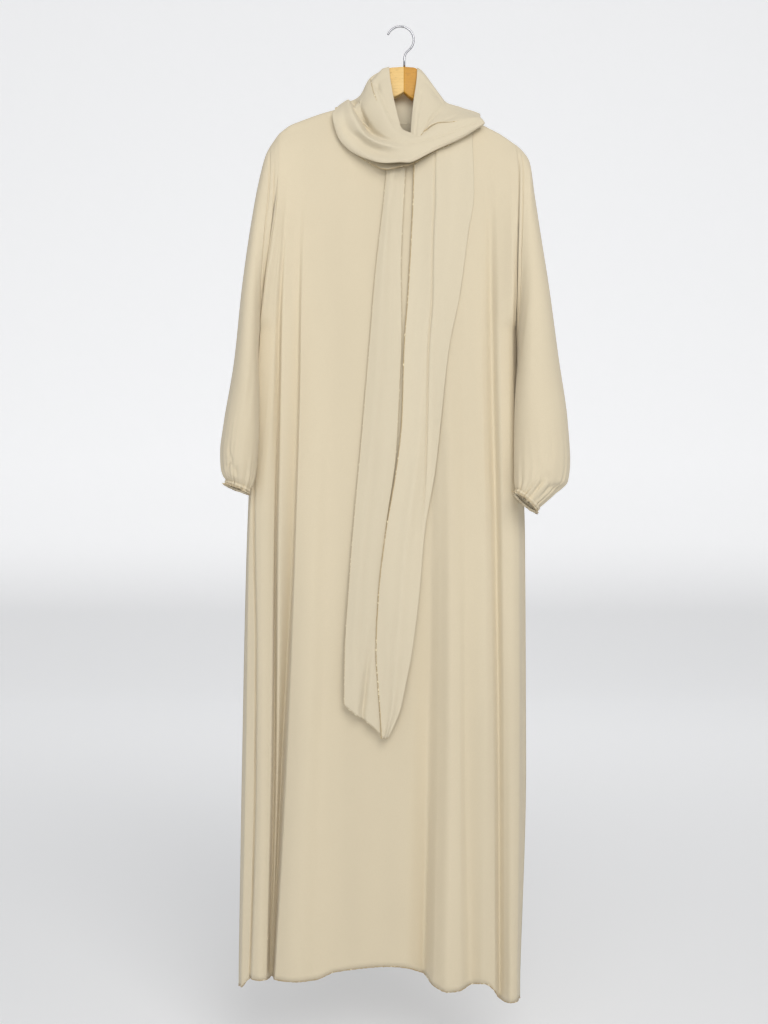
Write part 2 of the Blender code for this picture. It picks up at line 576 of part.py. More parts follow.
def make_cuff(name, sections):
    """Make a cuff: the elastic's casing and the small frill below it."""
    last = float(len(sections) - 1)
    table = sleeve_table(sections, np.full(len(CUFF_RINGS), last))
    wrist = table[0]
    down = np.cross(wrist[0:3] - wrist[3:6], (0.0, -wrist[6], wrist[7]))
    down *= -np.sign(down[2]) / np.linalg.norm(down)
    rings = sleeve_rings(table, [ring[1] for ring in CUFF_RINGS], [ring[2] for ring in CUFF_RINGS])
    for i, (share, _, _) in enumerate(CUFF_RINGS):
        rings[i] += down * (share * CUFF_LENGTH + CUFF_GAP)
    outer = thicken(rings, True, rings - rings.mean(axis=1, keepdims=True))
    square_end(rings, outer, 0)
    return make_wall(name, rings, outer, True, CLOTH)


def facing(lift, turn, front):
    """Give the direction that a swag's roll faces, from its lift and its turn in degrees."""
    lift, turn = math.radians(lift), math.radians(turn)
    level = math.cos(lift)
    return np.array([math.sin(turn) * level, -front * math.cos(turn) * level, math.sin(lift)])


def make_swag(name, stations, angles, between, front):
    """Make a swag of the scarf: an open roll carried along its stations."""
    table = np.array([s[1:] for s in stations], float)
    places = np.linspace(0, len(table) - 1, between * (len(table) - 1) + 1)
    rows = along(places, np.arange(len(table)), table)
    grid = np.zeros((len(rows), len(angles), 3))
    centres = np.zeros((len(rows), 1, 3))
    for i, (ux, uz, lx, lz, y, roll, lift, turn, trough) in enumerate(rows):
        upper, lower = np.array([ux, y, uz]), np.array([lx, y, lz])
        middle, half = (upper + lower) / 2, (upper - lower) / 2
        out = facing(lift, turn, front)
        centres[i, 0] = middle - out * roll
        for j, angle in enumerate(angles):
            dip = trough * math.exp(-((angle - TROUGH_ANGLE) / TROUGH_WIDTH) ** 2)
            a = math.radians(angle)
            grid[i, j] = middle + half * math.sin(a) + out * (roll * math.cos(a) - dip)
    outer = thicken(grid, False, grid - centres)
    return make_wall(name, grid, outer, False, SCARF)


def make_stretch(name, runs, columns):
    """Make a stretch of the scarf that goes over the hanger's neck, from the back to the front."""
    table = np.array([np.concatenate(run[1:]) for run in runs], float)
    places = np.linspace(0, len(table) - 1, 2 * len(table) - 1)
    rows = along(places, np.arange(len(table)), table).reshape(len(places), 3, 3)
    grid = np.zeros((len(places), columns, 3))
    for i in range(len(places)):
        grid[i] = along(np.linspace(0, 2, columns), [0, 1, 2], rows[i])
    outer = thicken(grid, False, grid - np.array(WITHIN_NECK))
    return make_wall(name, grid, outer, False, SCARF)


def make_tail(name, panel, edges, ends, lift, folds):
    """Make a hanging end of the scarf from the front's own points, moved out, with its folds."""
    z_knots = [-row[0] for row in edges]
    left_x, right_x = [row[1] for row in edges], [row[2] for row in edges]
    grid = np.zeros((TAIL_ROWS, TAIL_COLUMNS, 3))
    for i in range(TAIL_ROWS):
        down = i / (TAIL_ROWS - 1)
        for j in range(TAIL_COLUMNS):
            across = j / (TAIL_COLUMNS - 1)
            top = ends[0] * (1 - across) + ends[1] * across
            end = ends[2] * (1 - across) + ends[3] * across
            z = top + (end - top) * down
            x = float(along(-z, z_knots, left_x)[0, 0]) * (1 - across)
            x += float(along(-z, z_knots, right_x)[0, 0]) * across
            out = WALL + lift
            for _, start, finish, width, height in folds:
                middle = start + (finish - start) * down
                out += height * math.exp(-((across - middle) / width) ** 2)
            grid[i, j] = x, panel.depth(x, z) - out, z
    outer = grid - (0.0, WALL, 0.0)
    return make_wall(name, grid, outer, False, SCARF)


def rounded_bar(height, half_thick):
    """Give a bar's upright section as y, z points: flat sides and half-round top and foot."""
    points = []
    for start, middle in ((0, -half_thick), (180, half_thick - height)):
        for step in range(7):
            a = math.radians(start + step * 30)
            points.append((half_thick * math.cos(a), middle + half_thick * math.sin(a)))
    return points


def make_arm(name, sections, side):
    """Make one arm of the hanger: an upright bar that sweeps down and back to its tip."""
    rows = [(x, top, height, ARM_HALF_THICK) for x, top, height in sections]
    neck, tip = (NECK_LEFT_X, ARM_TIPS[0]) if side == -1 else (NECK_RIGHT_X, ARM_TIPS[1])
    for share in ARM_SHARES:
        x = neck + (tip - neck) * share
        height = ARM_NECK_HEIGHT + (ARM_TIP_HEIGHT - ARM_NECK_HEIGHT) * share
        dip = ARM_NECK_DIP if share == ARM_SHARES[0] else 0.0
        rows.append((x, shoulder_z(x) - ARM_SEAT - dip, height - dip, ARM_HALF_THICK))
    rows.append((tip, shoulder_z(tip) - ARM_SEAT - TIP_ROUND, ARM_TIP_HEIGHT - 2 * TIP_ROUND,
                 ARM_HALF_THICK - TIP_ROUND / 2))
    points, faces = [], []
    for x, top, height, thick in rows:
        x += side * SEAM / 2 if x == HANGER_X else 0.0
        points += [(x, arm_y(x) + y, top + z) for y, z in rounded_bar(height, thick)]
    count = len(points) // len(rows)
    for i in range(len(rows) - 1):
        for j in range(count):
            a, b = i * count + j, i * count + (j + 1) % count
            faces.append([a, b, b + count, a + count])
    faces.append(list(range(count))[::-1])
    faces.append([(len(rows) - 1) * count + j for j in range(count)])
    return make_solid(name, points, faces, WOOD)


def hook_path():
    """Give the hook's middle line: its arc, then a bend down into the shank."""
    centre_z = WIRE_RADIUS - HOOK_RADIUS
    path = []
    for step in range(HOOK_STEPS + 1):
        a = math.radians(HOOK_TIP_ANGLE + (HOOK_LAST_ANGLE - HOOK_TIP_ANGLE) * step / HOOK_STEPS)
        path.append((HOOK_RADIUS * math.cos(a), centre_z + HOOK_RADIUS * math.sin(a)))
    x, z = path[-1]
    for step in range(1, BEND_STEPS + 1):
        t = step / BEND_STEPS
        start, corner, end = (1 - t) ** 2, 2 * t * (1 - t), t * t
        path.append((start * x + (corner + end) * SHANK_X,
                     start * z + corner * (z - BEND_DROP) + end * BEND_FOOT_Z))
    path.append((SHANK_X, SHANK_FOOT_Z))
    return path


def make_hook():
    """Make the wire hook: a round wire along its middle line."""
    path = np.array([(x, 0.0, z) for x, z in hook_path()])
    way = np.gradient(path, axis=0)
    way /= np.linalg.norm(way, axis=1, keepdims=True)
    side = np.column_stack([-way[:, 2], np.zeros(len(way)), way[:, 0]])
    points, faces = [], []
    for middle, out in zip(path, side):
        for j in range(WIRE_SIDES):
            a = 2 * math.pi * j / WIRE_SIDES
            round_wire = math.cos(a) * out + math.sin(a) * np.array([0.0, 1.0, 0.0])
            points.append(middle + WIRE_RADIUS * round_wire)
    for i in range(len(path) - 1):
        for j in range(WIRE_SIDES):
            a, b = i * WIRE_SIDES + j, i * WIRE_SIDES + (j + 1) % WIRE_SIDES
            faces.append([a, b, b + WIRE_SIDES, a + WIRE_SIDES])
    faces.append(list(range(WIRE_SIDES))[::-1])
    faces.append([(len(path) - 1) * WIRE_SIDES + j for j in range(WIRE_SIDES)])
    return make_solid("hanger_hook", points, faces, CHROME)


def main():
    """Build the garment, its scarf and the hanger."""
    clear_scene()
    front = Panel(FRONT_FOLDS, FRONT_NECK_DROP, -1)
    back = Panel(BACK_FOLDS, BACK_NECK_DROP, 1)
    for name, panel in (("front_panel", front), ("back_panel", back)):
        inner = panel.grid()
        make_wall(name, inner, panel.outer(inner), False, CLOTH)
    make_sleeve("sleeve_left", LEFT_SLEEVE, LEFT_ARMHOLE, -1)
    make_sleeve("sleeve_right", RIGHT_SLEEVE, RIGHT_ARMHOLE, 1)
    make_cuff("cuff_left", LEFT_SLEEVE)
    make_cuff("cuff_right", RIGHT_SLEEVE)
    make_swag("scarf_cowl", COWL_STATIONS, COWL_ANGLES, 2, 1)
    make_swag("scarf_back", BACK_STATIONS, BACK_ANGLES, 2, -1)
    make_stretch("scarf_neck_left", NECK_LEFT_RUNS, 7)
    make_stretch("scarf_neck_right", NECK_RIGHT_RUNS, 8)
    make_tail("scarf_tail_left", front, LEFT_TAIL, LEFT_TAIL_ENDS, LEFT_TAIL_LIFT, LEFT_TAIL_FOLDS)
    make_tail("scarf_tail_right", front, RIGHT_TAIL, RIGHT_TAIL_ENDS, RIGHT_TAIL_LIFT, RIGHT_TAIL_FOLDS)
    make_arm("hanger_arm_left", LEFT_ARM, -1)
    make_arm("hanger_arm_right", RIGHT_ARM, 1)
    make_hook()


main()
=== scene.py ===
"""Looks of the abaya with its neck scarf, hanging flat on a wooden coat hanger.

Tables are in millimetres and meshes in metres. X runs to the right of the garment's front as it is
seen, Y runs away from its front, and Z runs up. The origin is the inside of the hook's top.
"""

import logging
import math
from dataclasses import dataclass, field
from enum import Enum, IntEnum
from typing import NamedTuple

import bpy
import numpy as np
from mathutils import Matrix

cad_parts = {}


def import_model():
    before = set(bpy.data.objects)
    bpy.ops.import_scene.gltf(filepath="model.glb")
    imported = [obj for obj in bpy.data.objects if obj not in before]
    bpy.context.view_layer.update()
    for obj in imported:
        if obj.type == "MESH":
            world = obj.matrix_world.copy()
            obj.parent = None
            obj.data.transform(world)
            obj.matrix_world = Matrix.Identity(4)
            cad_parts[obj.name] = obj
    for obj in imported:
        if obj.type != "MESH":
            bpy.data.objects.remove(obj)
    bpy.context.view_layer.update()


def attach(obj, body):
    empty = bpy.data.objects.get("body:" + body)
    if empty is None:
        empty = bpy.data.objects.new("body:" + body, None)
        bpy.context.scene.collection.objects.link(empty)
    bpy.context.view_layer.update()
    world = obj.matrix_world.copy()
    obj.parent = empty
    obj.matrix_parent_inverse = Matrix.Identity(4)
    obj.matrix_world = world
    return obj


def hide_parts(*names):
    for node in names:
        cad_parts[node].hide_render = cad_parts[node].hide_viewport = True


Array = np.ndarray
Rows = tuple[tuple, ...]
Point = tuple[float, float, float]
Colour = tuple[float, float, float]
Thing = bpy.types.Object
Material = bpy.types.Material
Group = bpy.types.NodeTree
Node = bpy.types.Node
Socket = bpy.types.NodeSocket

MM = 0.001
TINY = 1e-9             # keeps a division clear of zero
BODY = "root"           # the one body that everything rides on
LOG = logging.getLogger("abaya")

# The cloth and the hanger, as in the solids
WALL = 1.6              # thickness of the solids' walls
SKIN = 1.3              # from the solids' inner faces to the cloth that shows
CLOTH_THICK = 0.7
HANGER_X = 5.5          # the middle of the hanger
ARM_SWEEP = 14.0        # how far back the hanger's tips lie
ARM_REACH = 200.0       # from its middle to the end of the sweep
ARM_SEAT = 0.4          # from the hanger's top to the cloth over it
NECK_LEFT_X = -87.0
NECK_RIGHT_X = 86.0
FRONT_NECK_DROP = 60.0
BACK_NECK_DROP = 26.0
ARMHOLE_HALF_DEPTH = 32.0
ARMHOLE_BLEND = 45.0    # how far into a panel the armhole bends it
SHOULDER_ROUND = 7.3    # radius of the cloth over the hanger
OVER_ARM = 50.0         # how far down a panel keeps clear of the hanger
WITHIN_NECK = (0.0, 12.0, -135.0)    # a point that the scarf goes round
CREST = 2.0             # the point on each of the scarf's lines where it goes over the hanger

# How uneven an overcast edge is: its radius as a share, its place, and the most of both
EDGE_UNEVEN = 0.22
EDGE_WANDER = 0.15
EDGE_MOST = 1.5

# A Mix node's sockets for colours, which share their names with its number sockets
MIX_SHARE = 0
MIX_FIRST = 6
MIX_SECOND = 7
MIX_RESULT = 2
WAVE_BANDS = 3.1        # about how many bands a wave texture of scale 1 has to a metre of one axis


class Face(IntEnum):
    """The side that a cloth faces, as the sign of Y."""

    FRONT = -1
    BACK = 1


class Hand(IntEnum):
    """The side of the garment as its front is seen, as the sign of X."""

    LEFT = -1
    RIGHT = 1


class Slot(Enum):
    """The material slots."""

    CLOTH = "cloth"
    SCARF = "scarf"
    WOOD = "wood"
    WIRE = "wire"


class Fold(NamedTuple):
    """One fold of a panel, a line from the top edge to the hem."""

    name: str
    top_x: float            # its x at the top edge
    x: tuple[float, ...]    # its x at each of LEVELS
    y: tuple[float, ...]    # y of the solid's inner face at each of LEVELS
    hem_z: float


# The outer line of each shoulder, from the neck to the sleeve: x, z
LEFT_SHOULDER = ((-199, -169), (-183, -157), (-166, -150), (-125, -136), (-87, -127))
RIGHT_SHOULDER = ((86, -132), (112, -144), (141, -159), (166, -172), (191, -189))

# Each armhole's line from the shoulder to the underarm: x, z
LEFT_ARMHOLE = ((-199, -169), (-200, -227), (-203, -304), (-213, -367), (-222, -450), (-230, -494))
RIGHT_ARMHOLE = ((191, -189), (194, -227), (192, -304), (190, -367), (189, -450), (190, -494))

# Heights at which the folds' places and depths are given, under the shoulder
LEVELS = (-227, -340, -499, -580, -854, -1209, -1563)

# The front's folds from left to right
FRONT_FOLDS = (
    Fold("left_seam", -199,
         (-200, -213.3, -234.5, -240, -254, -262, -268), (-8, 1.1, 14, 14, 16, 18, 20), -1586),
    Fold("strip", -195.5,
         (-195.5, -204, -229.5, -234, -249, -254, -262), (-8, -6.8, -3, -5, -2, 1, 1), -1583),
    Fold("strip_edge", -193.5,
         (-193, -200, -219, -221.5, -243.3, -242.2, -250.6), (-8, -7.2, -5, -6.5, -5, -4, -5), -1569),
    Fold("column_left", -191.5,
         (-191, -197, -211.6, -214, -237, -235.2, -243.8), (-8, -7.5, -6, -7.5, -9, -11, -13), -1565),
    Fold("side_ridge", -189.5,
         (-189, -195.5, -207.5, -210, -227.1, -225.9, -230.5), (-8, -7.5, -6, -7, -12, -16, -19),
         -1565),
    Fold("column_edge", -187.8,
         (-187, -193, -201.4, -203, -208.6, -212.2, -219.6), (-8, -6.5, -1.5, 0, -4, -11, -14), -1565),
    Fold("fold_one", -186.5,
         (-185.5, -191.5, -199.4, -201, -206.3, -209.7, -217.5), (-8, -6.2, -1, 1, 5, 13, 18), -1574),
    Fold("ridge_one", -176,
         (-174, -185.5, -193, -194.5, -199, -203.1, -215.2), (-8, -8.5, -11, -11.5, -12, 4, 19), -1571),
    Fold("fold_two", -163.5,
         (-162, -165.5, -167.5, -168.5, -177, -196.7, -212.1), (-8, -7, -4, -3, 3, 17, 18), -1571),
    Fold("front_edge", -149,
         (-148, -157.5, -162, -163, -171, -184.3, -204.2), (-8, -9, -12, -13, -15, -19, -23), -1562),
    Fold("left_front", -126,
         (-128.9, -131, -135.1, -136.7, -143, -153.9, -169.8), (-8, -9.5, -14, -16, -20, -28, -33),
         -1562),
    Fold("left_flat", -104,
         (-105.9, -108.6, -112.3, -113.9, -120.3, -128.3, -139.5), (-8, -9, -12, -13, -15, -20, -24),
         -1562),
    Fold("left_neck", -82.5,
         (-77.9, -81, -85.3, -86.9, -93.4, -99, -107.2), (-8, -8.8, -11, -12, -13, -16, -16), -1552),
    Fold("centre", 0,
         (-7.3, -7.3, -7.3, -8.1, -10.6, -13.9, -20.4), (-8, -8.5, -10, -10, -10, -9, -6), -1547),
    Fold("before_three", 26,
         (20, 19.6, 19, 18, 17, 14, 8), (-8, -8.2, -9, -9, -9, -8, -6), -1549),
    Fold("fold_three", 48,
         (47, 47, 47, 47.5, 49, 44, 37.5), (-8, -7.8, -7, -6, -3, 1, 4), -1562),
    Fold("three_rise", 66,
         (60, 60.4, 61, 62, 66, 63, 55), (-8, -8.2, -9, -10, -11, -18, -27), -1571),
    Fold("ridge_three", 84,
         (74.9, 76.2, 78, 78.7, 82.4, 81.7, 76.2), (-8, -9, -12, -14, -20, -33, -45), -1574),
    Fold("ridge_three_end", 96,
         (88, 89.3, 91.1, 91.8, 94, 94.9, 94.2), (-8, -9, -12, -13, -18, -30, -42), -1573),
    Fold("fold_four", 107,
         (101.2, 102.5, 104.3, 105, 107.4, 107.6, 114.5), (-8, -8.8, -11, -12, -14, -22, -29), -1567),
    Fold("ridge_four", 131,
         (125.8, 127.7, 130.3, 131.8, 137, 137.7, 134.7), (-8, -9, -11.5, -13, -18, -31, -40), -1562),
    Fold("ridge_four_edge", 141,
         (138, 138, 139, 140, 146, 150, 151.1), (-8, -8.4, -9.5, -10.5, -14, -26, -38), -1573),
    Fold("fold_five", 150,
         (147.2, 148.5, 150, 151.5, 157.5, 161, 161.4), (-8, -6, -4, -4, -4.5, -13, -22), -1592),
    Fold("right_rise", 160,
         (157.1, 160, 162.5, 164, 168.5, 169.9, 169.7), (-8, -9.5, -12.5, -14, -17, -22, -32), -1594),
    Fold("right_front", 173,
         (168.6, 171.5, 175.5, 176, 180, 180, 178.9), (-8, -9, -11, -13, -18, -27, -42), -1592),
    Fold("right_turn", 184,
         (180.1, 181.3, 183, 183.8, 192.8, 191.9, 188.3), (-8, -7.8, -7, -7.5, -12, -22, -36), -1592),
    Fold("right_seam", 191,
         (193, 192.6, 192, 194.5, 206, 207, 195), (-8, 1.1, 14, 14, 12, 6, -12), -1596),
)

# The back's folds from left to right
BACK_FOLDS = (
    Fold("left_seam", -199,
         (-200, -213.3, -234.5, -240, -254, -262, -268), (36, 26.9, 14, 14, 16, 18, 20), -1589),
    Fold("ridge_one", -160,
         (-166, -176, -190, -194, -222, -232, -238), (30, 29.2, 28, 30, 36, 44, 46), -1574),
    Fold("fold_one", -128,
         (-132, -139.5, -150, -154, -176, -190, -196), (28, 28, 28, 28, 27, 30, 32), -1570),
    Fold("ridge_two", -87,
         (-88, -94.6, -104, -108, -124, -140, -150), (26, 27.7, 30, 32, 40, 50, 58), -1566),
    Fold("left_neck", -82.5,
         (-82, -88.6, -98, -102, -118, -134, -144), (26, 27.7, 30, 32, 39, 49, 57), -1566),
    Fold("fold_two", -40,
         (-44, -47.3, -52, -54, -62, -76, -84), (24, 25.2, 27, 28, 30, 34, 36), -1560),
    Fold("ridge_three", 5,
         (2, 0.3, -2, -4, -8, -14, -18), (25, 26.7, 29, 30, 38, 48, 56), -1560),
    Fold("fold_three", 52,
         (46, 46, 46, 46, 50, 50, 48), (26, 26.4, 27, 28, 30, 32, 32), -1566),
    Fold("right_neck", 81.5,
         (82, 84.5, 88, 90, 98, 102, 102), (27, 28.2, 30, 33, 41, 49, 53), -1574),
    Fold("ridge_four", 86,
         (88, 90.5, 94, 96, 104, 108, 108), (27, 28.2, 30, 33, 42, 50, 54), -1575),
    Fold("fold_four", 136,
         (132, 132, 132, 134, 146, 152, 152), (29, 28.6, 28, 28, 27, 30, 28), -1576),
    Fold("ridge_five", 165,
         (166, 166.8, 168, 170, 182, 184, 178), (32, 29.5, 26, 26, 30, 34, 28), -1584),
    Fold("right_seam", 191,
         (193, 192.6, 192, 194.5, 206, 207, 195), (36, 26.9, 14, 14, 12, 6, -12), -1596),
)

# Creases laid over the front's folds, each a list of z, x, depth into the cloth, half width on its
# left and half width on its right
FRONT_CREASES = (
    ((-620, -231, 0, 2, 2), (-760, -241, 4, 2, 2.2), (-854, -240.5, 6, 1.8, 2.2),
     (-1018, -237.5, 7, 1.8, 2.2), (-1209, -238.5, 8, 1.8, 2.2), (-1400, -242, 9, 1.8, 2.2),
     (-1575, -247.5, 8, 1.8, 2.2)),
    ((-700, -122, 0, 12, 14), (-830, -124, 1.4, 12, 16), (-1000, -128, 0, 12, 14)),
    ((-1150, 46, 0, 9, 10), (-1330, 44, 1.6, 8, 9), (-1450, 41.5, 3, 6.5, 8), (-1580, 38, 4, 5.5, 8)),
    ((-290, 149, 0, 9, 6), (-400, 149.5, 2, 10, 6), (-500, 151, 3, 11, 6), (-600, 152.5, 3, 11, 6),
     (-750, 157, 2, 11, 6), (-900, 160, 0, 10, 6)),
)
BACK_CREASES = (
    ((-300, -150, 0, 8, 8), (-600, -156, 3, 7, 9), (-1000, -178, 4, 7, 9), (-1590, -196, 5, 7, 10)),
    ((-420, -50, 0, 10, 10), (-800, -60, 2.5, 9, 11), (-1200, -72, 3.5, 8, 11), (-1575, -84, 4, 8, 10)),
    ((-500, 48, 0, 9, 9), (-900, 50, 3, 8, 10), (-1300, 50, 4, 7, 10), (-1575, 48, 4.5, 7, 10)),
    ((-320, 133, 0, 8, 8), (-700, 138, 3, 7, 8), (-1200, 150, 4, 7, 9), (-1590, 152, 5, 7, 9)),
)

# A sleeve's sections from the armhole to the wrist. Name, the outer end's x, y, z, the inner
# end's x, y, z, half the depth from front to back, how far the front is lifted
LEFT_SLEEVE = (
    ("armhole", -199, 14, -169, -230, 14, -494, 32, 0),
    ("cap", -208, 14, -183, -234, 12, -510, 33, 0),
    ("shoulder", -221, 12, -206, -235, 8, -530, 34, 0),
    ("upper", -234, 8, -258, -234.5, 0, -560, 35, 0),
    ("arm", -246, 2, -330, -233, -10, -595, 36, 0),
    ("elbow", -259, -6, -430, -232, -18, -632, 37, 0),
    ("forearm", -271.5, -12, -555, -232, -24, -668, 38, 2),
    ("low", -286.5, -18, -648, -233.5, -27, -700, 38, 3),
    ("full", -292.5, -22, -700, -236, -29, -727, 36, 4),
    ("tuck", -291, -25, -727, -238.5, -30, -743, 31, 5),
    ("gather", -287, -27, -741, -242, -31, -754, 25, 4),
    ("wrist", -281, -28, -749, -247, -31, -762, 17, 2.5),
)
RIGHT_SLEEVE = (
    ("armhole", 191, 14, -189, 190, 14, -494, 32, 0),
    ("cap", 202, 14, -201, 194, 12, -510, 33, 0),
    ("shoulder", 213, 12, -219, 194.5, 8, -530, 34, 0),
    ("upper", 221, 8, -275, 194, 0, -560, 35, 0),
    ("arm", 230, 2, -340, 190.5, -10, -595, 36, 0),
    ("elbow", 243, -6, -430, 188, -18, -632, 38, 0),
    ("forearm", 257.5, -12, -545, 186.5, -24, -675, 40, 2),
    ("low", 270, -24, -645, 185.5, -32, -710, 40, 3),
    ("full", 273.5, -30, -712, 185.5, -38, -736, 38, 4),
    ("tuck", 269, -34, -750, 186, -42, -751, 33, 5),
    ("gather", 248, -38, -770, 187, -45, -759, 26, 4),
    ("wrist", 222, -41, -792, 189, -47, -765, 18, 3.5),
)
OUTER_END = slice(0, 3)     # where those numbers are, after the name
INNER_END = slice(3, 6)
HALF_DEPTH = 6
FRONT_LIFT = 7

# Creases down a sleeve: section, degrees from its outer end over its front, depth, half width
LEFT_SLEEVE_CREASES = (
    ((7.4, 66, 0, 5), (7.9, 69, 1.8, 5), (8.4, 75, 2.5, 5), (9.0, 63, 2.0, 5), (9.6, 60, 0, 5)),
    ((8.6, 90, 0, 8), (9.2, 90, 2.5, 8), (10, 92, 0, 8)),
    ((4.6, 118, 0, 10), (5.6, 112, 1.5, 10), (7.0, 104, 0, 10)),
    ((3.5, 250, 0, 14), (5.0, 262, 3, 14), (7.5, 270, 3, 12), (9.5, 268, 0, 12)),
    ((5.5, 305, 0, 12), (7.0, 308, 2.5, 10), (8.8, 310, 2.5, 9), (10, 310, 0, 9)),
)
RIGHT_SLEEVE_CREASES = (
    ((7.9, 99, 0, 6), (8.4, 99, 2, 6), (9.6, 90, 3, 6), (10.6, 88, 0, 6)),
    ((8.5, 84, 0, 6), (9.0, 80, 2.2, 6), (9.9, 60, 2.2, 6), (10.8, 55, 0, 6)),
    ((6.9, 73, 0, 5), (7.6, 75, 1.6, 5), (8.2, 76, 0, 5)),
    ((3.5, 252, 0, 14), (5.0, 258, 3, 14), (7.5, 262, 3, 12), (9.5, 262, 0, 12)),
    ((5.8, 300, 0, 12), (7.2, 304, 2.5, 10), (9.0, 306, 2.5, 9), (10.2, 306, 0, 9)),
)
# Creases round a sleeve: degrees, section, depth, half width in sections
LEFT_SLEEVE_HOOPS = (
    ((6, 1.68, 0, 0.15), (35, 1.5, 1.8, 0.1), (60, 1.42, 2.6, 0.09), (87, 1.77, 2.8, 0.09),
     (108, 1.85, 2.8, 0.09), (130, 1.4, 2.2, 0.1), (150, 1.0, 0, 0.12)),
    ((40, 0.8, 0, 0.1), (60, 0.65, 1.8, 0.1), (80, 0.5, 1.8, 0.1), (100, 0.28, 0, 0.1)),
    ((200, 1.1, 0, 0.2), (240, 1.6, 2.8, 0.2), (280, 1.8, 3.0, 0.2), (320, 1.5, 0, 0.2)),
)
RIGHT_SLEEVE_HOOPS = (
    ((10, 0.8, 0, 0.12), (42, 0.84, 2.0, 0.09), (84, 1.03, 2.4, 0.09), (126, 1.4, 1.8, 0.1),
     (150, 1.6, 0, 0.12)),
    ((5, 9.65, 0, 0.25), (20, 9.65, 3.0, 0.3), (50, 9.65, 3.0, 0.3), (65, 9.65, 0, 0.25)),
    ((205, 1.1, 0, 0.2), (245, 1.5, 2.8, 0.2), (285, 1.6, 3.0, 0.2), (320, 1.3, 0, 0.2)),
    ((28, 0.1, 0, 0.16), (50, 0.1, 3.0, 0.16), (80, 0.1, 4.0, 0.18), (110, 0.12, 5.0, 0.2),
     (140, 0.15, 5.0, 0.24), (172, 0.2, 3.0, 0.3)),
)
BOWED_SECTIONS = 3.0    # sections over which the armhole's bow dies away

# The gathers' height down a sleeve: section, height
SLEEVE_GATHERS = ((0, 0.0), (6, 0.0), (8, 0.7), (10, 1.8), (11, 2.0))
FEWER_GATHERS = 7               # how many fewer the second wave of gathers has
GATHER_PARTS = (0.62, 0.38)     # the parts of the two waves
GATHER_BENDS = (0.11, 0.07)     # how far slow waves shift them, in radians

# A cuff from the sleeve's end down: share of its length, how much wider than the wrist
CUFF_PROFILE = ((0.0, 0.0), (0.12, 1.6), (0.35, 1.8), (0.58, -0.4), (0.66, -0.9), (0.8, 1.0), (1.0, 3.0))
# Its gathers' height: share of its length, height
CUFF_GATHERS = ((0.0, 2.0), (0.2, 1.8), (0.6, 1.9), (1.0, 4.2))
CUFF_LENGTH = 8.5

